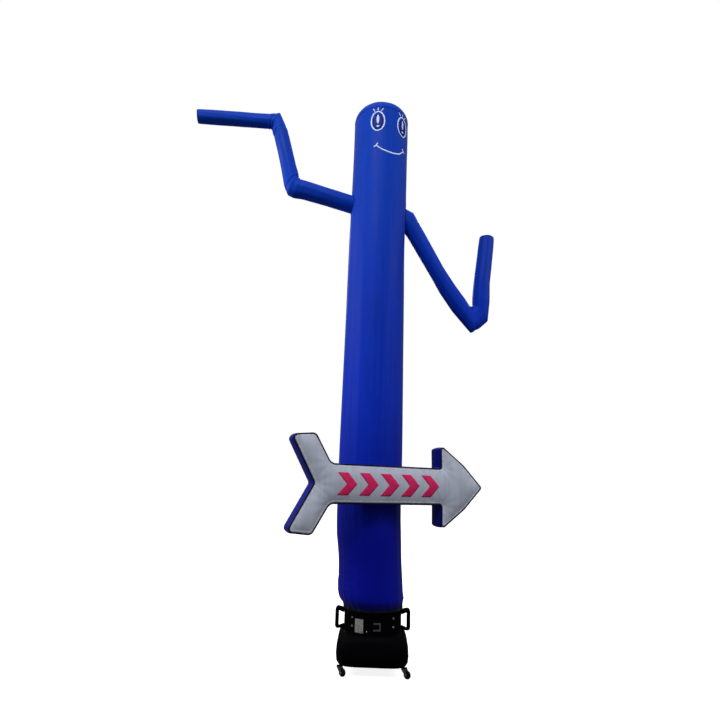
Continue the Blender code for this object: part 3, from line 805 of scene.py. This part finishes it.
def clear_of_tube(points):
    """How far each point is outside the tube's cloth, less the gap kept to it."""
    radius, shift = np.moveaxis(smooth_read(TUBE_SECTIONS, points[:, 2]), -1, 0)
    x, y = points[:, 0] - FIGURE.x - shift, points[:, 1] - FIGURE.y
    skin = radius + ripple(np.arctan2(y, x), points[:, 2])
    return np.hypot(x, y) - skin - ARM_GAP


def arm_rings(rows, creases, folds, seed):
    """Rings of the finished sleeve, from the tube's skin out to the end."""
    table = np.array(rows, float)
    middle = (table[:, 0:2] + table[:, 2:4]) / 2
    reach = np.concatenate([[0.0], np.cumsum(np.linalg.norm(np.diff(middle, axis=0), axis=1))])
    keyed = np.column_stack([reach, table])
    angles = round_turns(ARM_SIDES)
    side = np.arange(ARM_SIDES)

    def point(at):
        """One point for each side, at that distance along the sleeve."""
        low_x, low_z, high_x, high_z, depth = np.moveaxis(firm_read(keyed, at, ARM_FIRMNESS), -1, 0)
        across = (high_x - low_x) / 2 * np.cos(angles)
        up = (high_z - low_z) / 2 * np.cos(angles)
        deep = depth * np.sin(angles)
        relief = sleeve_relief(at, angles, reach, creases, folds, seed)
        grown = 1 + relief / np.sqrt(across ** 2 + up ** 2 + deep ** 2)
        x = (low_x + high_x) / 2 + across * grown
        z = (low_z + high_z) / 2 + up * grown
        y = deep * grown
        return np.stack([FIGURE.x + x * cos(ARM_TURN) - y * sin(ARM_TURN),
                         FIGURE.y + x * sin(ARM_TURN) + y * cos(ARM_TURN), z], axis=-1)

    trial = np.linspace(0.0, reach[1] * 1.6, 160)
    gaps = np.stack([clear_of_tube(point(np.full(ARM_SIDES, at))) for at in trial])
    first = np.argmax(gaps > 0, axis=0)
    before = np.maximum(first - 1, 0)
    share = -gaps[before, side] / np.maximum(gaps[first, side] - gaps[before, side], 1e-9)
    start = trial[before] + np.clip(share, 0, 1) * (trial[first] - trial[before])
    settle = max(start.max() + 0.05, 0.20)
    rings = []
    for at in np.linspace(0.0, reach[-1], int(reach[-1] / ARM_STEP)):
        slanted = start + (settle - start) * at / settle
        rings.append(point(slanted if at < settle else np.full(ARM_SIDES, at)))
    return np.stack(rings)


def make_arm_end(name, last, run):
    """Round panel that closes a sleeve, bulged a little by the air."""
    middle = last.mean(axis=0)
    lift = SEAM_GAP + CLOTH
    rows = []
    for share in np.linspace(1.0, 0.0, 9)[:-1]:
        crimp = 0.0012 * share ** 4 * np.sin(END_GATHERS * round_turns(ARM_SIDES))
        bulge = lift + END_BULGE * (1 - share ** 2)
        rows.append(middle + (last - middle) * share + run * bulge + run * crimp[:, None])
    verts, faces = closed_over(np.stack(rows), middle + run * (lift + END_BULGE))
    end = piece(name + "_end_cloth", verts, faces, BLUE, "nylon_blue",
                outward=lambda spot: Vector(run), replaces=(name + "_end",))
    return thicken(end)


def make_arm(name, rows, creases, folds, seed):
    """A sleeve with its end panel, the rolls of its two seams and their stitches."""
    points = arm_rings(rows, creases, folds, seed)
    centres = points.mean(axis=1)

    def away(spot):
        nearest = np.argmin(np.linalg.norm(centres - np.array(spot), axis=1))
        return (spot - Vector(centres[nearest])).normalized()

    verts, faces, layout = grid(points)
    sleeve = piece(name + "_cloth", verts, faces, BLUE, "nylon_blue", layout,
                   (2 * pi * ARM_RADIUS / ARM_SIDES, ARM_STEP), outward=away, replaces=(name,))
    thicken(sleeve)
    run = centres[-1] - centres[-2]
    run /= np.linalg.norm(run)
    end = make_arm_end(name, points[-1], run)
    seams = [bead(points[-1] + run * 0.0014, ARM_SEAM), bead(points[0], ARM_SEAM)]
    piece(name + "_seams", *joined(seams), END_SEAM, "nylon_blue")
    sewn = [stitches(points[row], away, spacing=0.008) for row in (-2, 1)]
    piece(name + "_stitches", *joined(sewn), THREAD_BLUE, "nylon_blue")
    return sleeve, end


# ---------------------------------------------------------------- face

def on_front(across, height, lift=0.0009):
    """Point on the tube's cloth: metres across from the front's middle line, and height."""
    return tube_point(-pi / 2 + np.asarray(across) / MEAN_RADIUS, height, lift)


def ribbon(path, width, closed=False, taper=False):
    """Flat strip along a path of (across, height) points, wrapped on the tube."""
    path = np.asarray(path, float)
    ahead = np.roll(path, -1, axis=0) - np.roll(path, 1, axis=0)
    if not closed:
        ahead[0], ahead[-1] = path[1] - path[0], path[-1] - path[-2]
    ahead /= np.linalg.norm(ahead, axis=1)[:, None]
    side = np.stack([-ahead[:, 1], ahead[:, 0]], axis=1)
    wide = np.full(len(path), width / 2)
    if taper:
        wide = wide * (0.55 + 0.45 * np.sin(pi * np.linspace(0.0, 1.0, len(path))) ** 0.5)
    lanes = [path + side * (wide * share)[:, None] for share in (-1.0, -0.33, 0.33, 1.0)]
    return grid(np.stack([on_front(lane[:, 0], lane[:, 1]) for lane in lanes]), closed)[:2]


def oval(centre, size, count=48):
    """Points round an oval, as (across, height) pairs."""
    turn = round_turns(count)
    return np.stack([centre[0] + size[0] * np.cos(turn), centre[1] + size[1] * np.sin(turn)], axis=1)


def filled_oval(centre, size, lift, rings=5, count=40):
    """Disc of rings wrapped on the tube."""
    rows = []
    for ring in range(rings, 0, -1):
        edge = oval(centre, (size[0] * ring / rings, size[1] * ring / rings), count)
        rows.append(on_front(edge[:, 0], edge[:, 1], lift))
    return closed_over(np.stack(rows), on_front(centre[0], centre[1], lift))


def stroke(start, end, width, bow=0.0, count=8):
    """Short line between two points, bowed sideways by a share of its length."""
    start, end = np.array(start), np.array(end)
    t = np.linspace(0.0, 1.0, count)[:, None]
    run = end - start
    across = np.array((-run[1], run[0]))
    return ribbon(start + run * t + across * bow * (4 * t * (1 - t)), width)


def make_eye(centre):
    """Outline, pupil with a dot below it and three lashes, and the dark oval behind them."""
    x, height = centre
    wide, tall = EYE_SIZE
    lines = [ribbon(oval(centre, (wide - LINE / 2, tall - LINE / 2)), LINE, closed=True),
             filled_oval((x, height + 0.016), PUPIL, FACE_LIFT, 3, 24),
             filled_oval((x + 0.002, height - 0.050), DOT, FACE_LIFT, 3, 20)]
    for lean in (-1.0, 0.0, 1.0):
        foot = (x + lean * 0.026, height + tall + 0.004 - 0.006 * abs(lean))
        tip = (foot[0] + lean * 0.016, foot[1] + 0.031 - 0.004 * abs(lean))
        lines.append(stroke(foot, tip, LASH))
    return lines, filled_oval((x, height - 0.002), (wide - 0.019, tall - 0.022), 0.0006)


def make_smile():
    """Curved line that thins toward its ends, with a tick across each."""
    at = np.linspace(SMILE[0][0], SMILE[-1][0], 60)
    smile = np.stack([np.radians(at) * MEAN_RADIUS, smooth_read(SMILE, at)[:, 0]], axis=1)
    lines = [ribbon(smile, LINE * 1.15, taper=True)]
    for end, before in ((smile[0], smile[3]), (smile[-1], smile[-4])):
        run = (end - before) / np.linalg.norm(end - before)
        square = np.array((-run[1], run[0])) * TICK
        lines.append(stroke(end - square, end + square, LINE, 0.12))
    return lines


def make_face():
    """Sewn-on outline eyes with lashes, and a smile with a tick at each end."""
    lines, dark = [], []
    for degrees, height in EYES:
        eye, behind = make_eye((radians(degrees) * MEAN_RADIUS, height))
        lines += eye
        dark.append(behind)
    lines += make_smile()
    white = piece("face_lines", *joined(lines), FACE_WHITE, "nylon_white", outward=from_axis)
    thicken(white, 0.0008, 1.0)
    ovals = piece("face_dark_ovals", *joined(dark), FACE_DARK, "nylon_blue", outward=from_axis)
    thicken(ovals, 0.0006, 1.0)


# ---------------------------------------------------------------- arrow sign

def fillet(before, corner, after, radius, steps=8):
    """Arc of the given radius that rounds one corner off."""
    back = (before - corner).normalized()
    ahead = (after - corner).normalized()
    half = acos(max(-1.0, min(1.0, back.dot(ahead)))) / 2
    reach = radius * cos(half) / sin(half)
    centre = corner + (back + ahead).normalized() * (radius / sin(half))
    first = corner + back * reach - centre
    last = corner + ahead * reach - centre
    start = atan2(first.y, first.x)
    sweep = wrapped(atan2(last.y, last.x) - start)
    turns = [start + sweep * step / steps for step in range(steps + 1)]
    return [centre + radius * Vector((cos(turn), sin(turn))) for turn in turns]


def arrow_outline():
    """Closed outline, rounded at its corners, with even steps along the straights."""
    upper = [(Vector((x, z)), r) for x, z, r in ARROW_CORNERS]
    lower = [(Vector((p.x, -p.y)), r) for p, r in upper[-2:0:-1]]
    corners = upper + lower
    count = len(corners)
    arcs = [fillet(corners[i - 1][0], corner, corners[(i + 1) % count][0], radius)
            for i, (corner, radius) in enumerate(corners)]
    outline = []
    for i, arc in enumerate(arcs):
        outline += arc
        start, end = arc[-1], arcs[(i + 1) % count][0]
        pieces = max(1, round((end - start).length / ARROW_STEP))
        outline += [start.lerp(end, k / pieces) for k in range(1, pieces)]
    return np.array([tuple(p) for p in outline])


def inset(outline, amount):
    """The outline moved inward, square to its own run at each point."""
    run = np.roll(outline, -1, axis=0) - np.roll(outline, 1, axis=0)
    run /= np.linalg.norm(run, axis=1)[:, None]
    return outline + np.stack([run[:, 1], -run[:, 0]], axis=1) * amount


def edge_distance(points, outline):
    """Distance of each point to the outline, and how far round the nearest spot is."""
    start, end = outline, np.roll(outline, -1, axis=0)
    step = end - start
    size = np.linalg.norm(step, axis=1)
    reach = np.concatenate([[0.0], np.cumsum(size)[:-1]])
    away = points[:, None, :] - start[None, :, :]
    part = np.clip((away * step).sum(axis=2) / np.maximum(size ** 2, 1e-12), 0.0, 1.0)
    far = np.linalg.norm(away - part[..., None] * step, axis=2)
    best = far.argmin(axis=1)
    rows = np.arange(len(points))
    return far[rows, best], reach[best] + part[rows, best] * size[best]


def is_inside(points, outline):
    """Which points lie inside the outline, by counting the edges to the right of each."""
    start, end = outline, np.roll(outline, -1, axis=0)
    x, y = points[:, 0:1], points[:, 1:2]
    spans = (start[:, 1] > y) != (end[:, 1] > y)
    rise = np.where(end[:, 1] == start[:, 1], 1.0, end[:, 1] - start[:, 1])
    cross = start[:, 0] + (end[:, 0] - start[:, 0]) * (y - start[:, 1]) / rise
    return (spans & (x < cross)).sum(axis=1) % 2 == 1


def panel(outline, step):
    """Triangles over an outline, with a staggered net of points inside."""
    low, high = outline.min(axis=0), outline.max(axis=0)
    net = []
    for row in range(int((high[1] - low[1]) / (step * 0.87)) + 2):
        for column in range(int((high[0] - low[0]) / step) + 2):
            net.append((low[0] + (column + 0.5 * (row % 2)) * step, low[1] + row * step * 0.87))
    net = np.array(net)
    net = net[is_inside(net, outline)]
    net = net[edge_distance(net, outline)[0] > 0.55 * step]
    points = [Vector(p) for p in np.vstack([outline, net])]
    count = len(outline)
    edges = [(i, (i + 1) % count) for i in range(count)]
    inside_only = 1
    flat, _, faces, *_ = delaunay_2d_cdt(points, edges, [], inside_only, 1e-6)
    return np.array([tuple(p) for p in flat]), [tuple(f) for f in faces]


def relaxed(values, faces, held, rounds):
    """Each free value drawn toward its neighbours, as a blown-up skin evens out."""
    pairs = np.array([(f[i], f[(i + 1) % len(f)]) for f in faces for i in range(len(f))])
    for _ in range(rounds):
        total = np.zeros_like(values)
        number = np.zeros_like(values)
        for a, b in ((0, 1), (1, 0)):
            np.add.at(total, pairs[:, a], values[pairs[:, b]])
            np.add.at(number, pairs[:, a], 1.0)
        values = np.where(held, values, 0.45 * values + 0.55 * total / np.maximum(number, 1))
    return values


def back_depth(x):
    """How far the arrow's back lies in front of the figure's axis."""
    shift = smooth_read(TUBE_SECTIONS, ARROW_HEIGHT)[1]
    off = np.abs(x - shift)
    round_seat = np.sqrt(np.maximum(ARROW_SEAT ** 2 - off ** 2, 0.0))
    return np.where(off < ARROW_SEAT, np.maximum(ARROW_BACK, round_seat), ARROW_BACK)


def in_front(x, depth, z):
    """Row-frame points from across, depth ahead of the axis, and up from the arrow's middle."""
    x, depth, z = np.broadcast_arrays(x, depth, z)
    return np.stack([FIGURE.x + x, FIGURE.y - depth, ARROW_HEIGHT + z], axis=-1)


def corner_pull(flat, corners):
    """Short creases that run out from the sign's inner corners."""
    out = np.zeros(len(flat))
    for x, z, _ in corners:
        away = flat - np.array((x, z))
        far = np.linalg.norm(away, axis=1)
        turn = np.arctan2(away[:, 1], away[:, 0])
        out += ARROW_PULL * np.exp(-far / 0.075) * ease(far, 0.0, 0.03) * np.sin(11 * turn + 0.7)
    return out


def arrow_dome(flat, faces, inward, round_at):
    """How far the front stands out: its crown, puckers at the seam, creases and soft waves."""
    inner = [ARROW_CORNERS[0], ARROW_CORNERS[3], ARROW_CORNERS[4]]
    inner += [(x, -z, r) for x, z, r in inner[1:]]
    crown = ARROW_CROWN * (1 - np.exp(-inward / ARROW_CROWN_WIDTH))
    crown = relaxed(crown, faces, inward < 1e-5, 14)
    pucker = arrow_pucker(inward, round_at)
    x, z = flat[:, 0], flat[:, 1]
    soft = np.sin(9 * x + 4 * z) * np.sin(13 * z - 5 * x + 1)
    creased = ARROW_PUCKER * pucker + corner_pull(flat, inner)
    return crown + ease(inward, 0.0, 0.006) * creased + ARROW_WAVES * soft * ease(inward, 0, 0.05)


def arrow_pucker(inward, round_at):
    """Small gathers along the seam, that fade away from it."""
    return np.exp(-inward / 0.020) * np.sin(2 * pi * round_at / GATHER + np.sin(round_at * 9))


def make_arrow():
    """The sign's front, back and side strip, with its rolls, stitches and chevrons."""
    outline = arrow_outline()
    seam = inset(outline, ARROW_ROLL)
    flat, faces = panel(seam, ARROW_STEP)
    inward, round_at = edge_distance(flat, seam)
    depth = ARROW_FRONT + SEAM_GAP + CLOTH + arrow_dome(flat, faces, inward, round_at)
    verts = in_front(flat[:, 0], depth, flat[:, 1])
    tree = BVHTree.FromPolygons([Vector(v) for v in verts], faces)
    front = piece("arrow_front_cloth", verts, faces, WHITE, "nylon_white",
                  outward=ahead_of, replaces=("arrow_front",))
    thicken(front)
    dents = ARROW_DENTS * arrow_pucker(inward, round_at) * ease(inward, 0.0, 0.006)
    verts = in_front(flat[:, 0], back_depth(flat[:, 0]) - SEAM_GAP + dents, flat[:, 1])
    back = piece("arrow_back_cloth", verts, faces, BLUE_ARROW, "nylon_blue",
                 outward=lambda spot: -ahead_of(spot), replaces=("arrow_back",))
    thicken(back)
    gusset = make_gusset(outline, seam)

    edge = in_front(seam[:, 0], ARROW_FRONT + 0.0012, seam[:, 1])
    behind = in_front(seam[:, 0], back_depth(seam[:, 0]) - 0.0004, seam[:, 1])
    rolls = [bead(edge, ARROW_BEAD), bead(behind, 0.0022)]
    # Both seam rolls are painted near-black navy as the shade of the side strip's roll
    piece("arrow_seams", *joined(rolls), SEAM_ROLL_SHADE, "nylon_blue")
    sewn = [stitches(laid_on(tree, inset(seam, inward), 0.0003), ahead_of, 0.0085, width=0.0026)
            for inward in ARROW_STITCHED]
    piece("arrow_stitches", *joined(sewn), THREAD_WHITE, "nylon_white")
    make_chevrons(tree)
    return front, back, gusset


def ahead_of(spot):
    """The way the sign's front faces, the same at every spot."""
    return Vector((0.0, -1.0, 0.0))


def laid_on(tree, points, lift):
    """Points across and up from the sign's middle, laid on its front panel."""
    out = []
    for x, z in points:
        start = Vector((FIGURE.x + x, -2.0, ARROW_HEIGHT + z))
        hit = tree.ray_cast(start, Vector((0.0, 1.0, 0.0)))[0]
        out.append((start.x, hit.y - lift, start.z))
    return np.array(out)


def make_gusset(outline, seam):
    """Side strip: rolls out past both seams, and is drawn in between its puckers."""
    size = np.linalg.norm(np.roll(outline, -1, axis=0) - outline, axis=1)
    reach = np.concatenate([[0.0], np.cumsum(size)[:-1]])
    behind = back_depth(seam[:, 0])
    rows = []
    for share in np.linspace(0.0, 1.0, 15):
        roll = sin(pi * share) ** 0.45
        wave = np.exp(-min(share, 1 - share) / 0.18)
        pucker = ARROW_WAVES * wave * np.sin(2 * pi * reach / GATHER) * (0 < share < 1)
        spot = seam + (outline - seam) * (roll + (pucker / ARROW_ROLL))[:, None]
        depth = ARROW_FRONT + share * (behind - ARROW_FRONT)
        rows.append(in_front(spot[:, 0], depth, spot[:, 1]))
    verts, faces, layout = grid(np.stack(rows))

    def away(spot):
        off_x, off_z = outline[:, 0] + FIGURE.x - spot.x, outline[:, 1] + ARROW_HEIGHT - spot.z
        near = np.argmin(np.hypot(off_x, off_z))
        way = outline[near] - seam[near]
        return Vector((way[0], 0.0, way[1]))

    gusset = piece("arrow_gusset_cloth", verts, faces, BLUE_ARROW, "nylon_blue", layout,
                   (ARROW_STEP, 0.010), outward=away, replaces=("arrow_gusset",))
    return thicken(gusset)


def make_chevrons(tree):
    """Row of plain chevrons along the shaft."""
    start, end = CHEVRON_SPAN
    pitch = (end - start) / CHEVRONS
    half = CHEVRON_TALL / 2
    parts = []
    for index in range(CHEVRONS):
        left = start + index * pitch + (pitch - CHEVRON_ARM - CHEVRON_POINT) / 2
        outline = np.array([(left, half), (left + CHEVRON_ARM, half),
                            (left + CHEVRON_ARM + CHEVRON_POINT, 0.0), (left + CHEVRON_ARM, -half),
                            (left, -half), (left + CHEVRON_POINT, 0.0)])
        dense = []
        for a, b in zip(outline, np.roll(outline, -1, axis=0)):
            count = max(1, int(np.linalg.norm(b - a) / 0.008))
            dense += [a + (b - a) * k / count for k in range(count)]
        flat, faces = panel(np.array(dense)[::-1], 0.010)
        parts.append((laid_on(tree, flat, 0.0009), faces))
    marks = piece("arrow_chevrons", *joined(parts), CHEVRON_RED, "nylon_white", outward=ahead_of)
    thicken(marks, 0.0006, 1.0)


# ---------------------------------------------------------------- blower and casters

def blower_place():
    """From the blower's own axes to the row frame."""
    return (Matrix.Translation(FIGURE + Vector((BLOWER_SHIFT, 0.0, 0.0)))
            @ Matrix.Rotation(BLOWER_TURN, 4, "Z"))


def make_blower():
    """Moulded shell: rounded square base with a parting line, and the round drum."""
    turn = round_turns(144)
    place = blower_place()
    rows = []
    for height, half, squareness in BLOWER_SECTIONS:
        power = 2 / squareness
        x = half * np.sign(np.cos(turn)) * np.abs(np.cos(turn)) ** power
        y = half * np.sign(np.sin(turn)) * np.abs(np.sin(turn)) ** power
        rows.append([tuple(place @ Vector((a, b, height))) for a, b in zip(x, y)])
    verts, faces = capped(np.array(rows))
    piece("blower_shell", verts, faces, BLACK, "black_plastic", replaces=("blower_housing",), sharp=35.0)


def lathe(profile, sides, place):
    """Round solid about local Y from (radius, along) pairs, closed at both ends."""
    rows = [[tuple(place @ Vector((radius * cos(turn), offset, radius * sin(turn))))
             for turn in round_turns(sides)] for radius, offset in profile]
    return capped(np.array(rows))


def wheel_profile(radius):
    """Half of the wheel, from its bore out: hub, dished side, rim and rounded tread."""
    face, dish = WHEEL_HALF - 0.0006, WHEEL_HALF - WHEEL_DISH
    return [(0.0055, WHEEL_HALF), (0.0068, WHEEL_HALF), (0.0078, dish), (0.0150, dish), (0.0162, face),
            (radius - 0.0035, face), (radius - 0.0012, WHEEL_HALF - 0.0020), (radius, WHEEL_HALF - 0.0045)]


def axle_head_profile():
    """Low head on the outside of a fork's cheek."""
    cheek = WHEEL_HALF + FORK_GAP + FORK_CHEEK
    return [(0.0020, cheek + 0.0030), (0.0042, cheek + 0.0026), (0.0048, cheek + 0.0002),
            (0.0048, cheek - 0.0002)]


def make_casters():
    """Each wheel on its own body, and the two heads of its axle on the fork's."""
    joints = {joint["name"]: joint for joint in frame["record"]["behaviour"]["joints"]}
    for corner in CORNERS:
        axle = Vector(joints["roll_" + corner]["axis"]).normalized()
        low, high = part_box("caster_wheel_" + corner)
        turned = Matrix(((-axle.y, axle.x, 0.0), (axle.x, axle.y, 0.0), (0.0, 0.0, 1.0)))
        place = Matrix.Translation((low + high) / 2) @ turned.to_4x4()
        profile = wheel_profile((high.z - low.z) / 2)
        profile += [(reach, -side) for reach, side in reversed(profile)]
        piece(f"wheel_tread_{corner}", *lathe(profile, 48, place), RUBBER, "caster_rubber",
              body="wheel_" + corner, replaces=("caster_wheel_" + corner,), sharp=40.0)
        heads = [lathe([(reach, sign * side) for reach, side in axle_head_profile()], 24, place)
                 for sign in (1, -1)]
        piece(f"axle_heads_{corner}", *joined(heads), STEEL, "steel", body="fork_" + corner)


def finish_nodes():
    """Finishes for the CAD nodes that stay in view."""
    finishes = {"handle_": BLACK, "label_plate": LABEL, "cable_staple": BRACKET, "drum_screw": STEEL,
                "handle_bolt_": STEEL, "caster_plate_": ZINC, "caster_fork_": ZINC}
    for name, node in frame["nodes"].items():
        if node.hide_render:
            continue
        key = max((k for k in finishes if name.startswith(k)), key=len)
        node.data.materials.clear()
        node.data.materials.append(finishes[key])


# ---------------------------------------------------------------- stage

def make_floor():
    """Wide floor that looks white to the camera but throws little light back up."""
    mesh = bpy.data.meshes.new("floor")
    shape = bmesh.new()
    bmesh.ops.create_grid(shape, x_segments=4, y_segments=4, size=60.0)
    shape.to_mesh(mesh)
    shape.free()
    pale = Finish("pale_floor", roughness=0.8, Specular_IOR_Level=0.1)
    cloudy = pale.noise(pale.place((1.0, 1.0, 1.0)), 1.5, 3.0)
    seen = pale.add("ShaderNodeLightPath").outputs["Is Camera Ray"]
    colour = pale.blend(seen, (0.14, 0.14, 0.142, 1.0), (0.80, 0.80, 0.805, 1.0))
    colour = pale.tint(colour, pale.spread(cloudy, 0.98, 1.02, 0.3, 0.7))
    pale.shader.inputs["Emission Color"].default_value = (1.0, 1.0, 1.0, 1.0)
    pale.put(pale.shader.inputs["Emission Strength"], pale.spread(seen, 0.0, FLOOR_LIFT))
    mesh.materials.append(pale.finish(colour))
    floor = bpy.data.objects.new("floor", mesh)
    floor.location.z = -0.0005
    bpy.context.collection.objects.link(floor)


def make_light(name, place, target, size, watts):
    """Square area light turned toward its target."""
    data = bpy.data.lights.new(name, "AREA")
    data.shape = "SQUARE"
    data.size = size
    data.energy = watts
    lamp = bpy.data.objects.new(name, data)
    lamp.location = place
    lamp.rotation_euler = (Vector(target) - Vector(place)).to_track_quat("-Z", "Y").to_euler()
    bpy.context.collection.objects.link(lamp)


def make_world():
    """White to the camera, and a sky that is dim below and lighter above to everything else."""
    world = bpy.data.worlds.new("studio")
    bpy.context.scene.world = world
    world.use_nodes = True
    sky = Nodes(world.node_tree)
    way = sky.add("ShaderNodeTexCoord").outputs["Generated"]
    rise = sky.add("ShaderNodeSeparateXYZ", {"Vector": way}).outputs["Z"]
    climb = sky.spread(rise, SKY_BELOW, SKY_ABOVE, -0.2, 0.9)
    seen = sky.add("ShaderNodeLightPath").outputs["Is Camera Ray"]
    strength = sky.add("ShaderNodeMix", {0: seen, 2: climb, 3: 1.0}).outputs[0]
    background = sky.tree.nodes["Background"]
    background.inputs["Color"].default_value = (1.0, 1.0, 1.0, 1.0)
    sky.put(background.inputs["Strength"], strength)


def make_camera():
    """Camera at the photograph's place, turned by yaw, pitch and roll."""
    data = bpy.data.cameras.new("camera")
    data.lens = LENS
    data.sensor_width = 36
    data.clip_end = 200
    camera = bpy.data.objects.new("camera", data)
    bpy.context.collection.objects.link(camera)
    away = Vector((sin(CAMERA_AZIMUTH), -cos(CAMERA_AZIMUTH), 0.0)) * CAMERA_DISTANCE
    place = FIGURE + away + Vector((0.0, 0.0, CAMERA_RISE))
    turned = (Matrix.Rotation(CAMERA_AZIMUTH + CAMERA_YAW, 4, "Z")
              @ Matrix.Rotation(pi / 2 + CAMERA_PITCH, 4, "X")
              @ Matrix.Rotation(CAMERA_ROLL, 4, "Z"))
    camera.matrix_world = Matrix.Translation(place) @ turned
    bpy.context.scene.camera = camera


# ---------------------------------------------------------------- build

tube = make_tube()
crown = make_crown()
make_tube_stitches()
left = make_arm("left_arm", LEFT_ARM, LEFT_CREASES, LEFT_FOLDS, 0.3)
right = make_arm("right_arm", RIGHT_ARM, RIGHT_CREASES, RIGHT_FOLDS, 1.9)
make_face()
arrow = make_arrow()
make_blower()
make_casters()
finish_nodes()

make_floor()
make_world()
for light in LIGHTS:
    make_light(*light)
make_camera()
bpy.context.scene.view_settings.view_transform = "Standard"
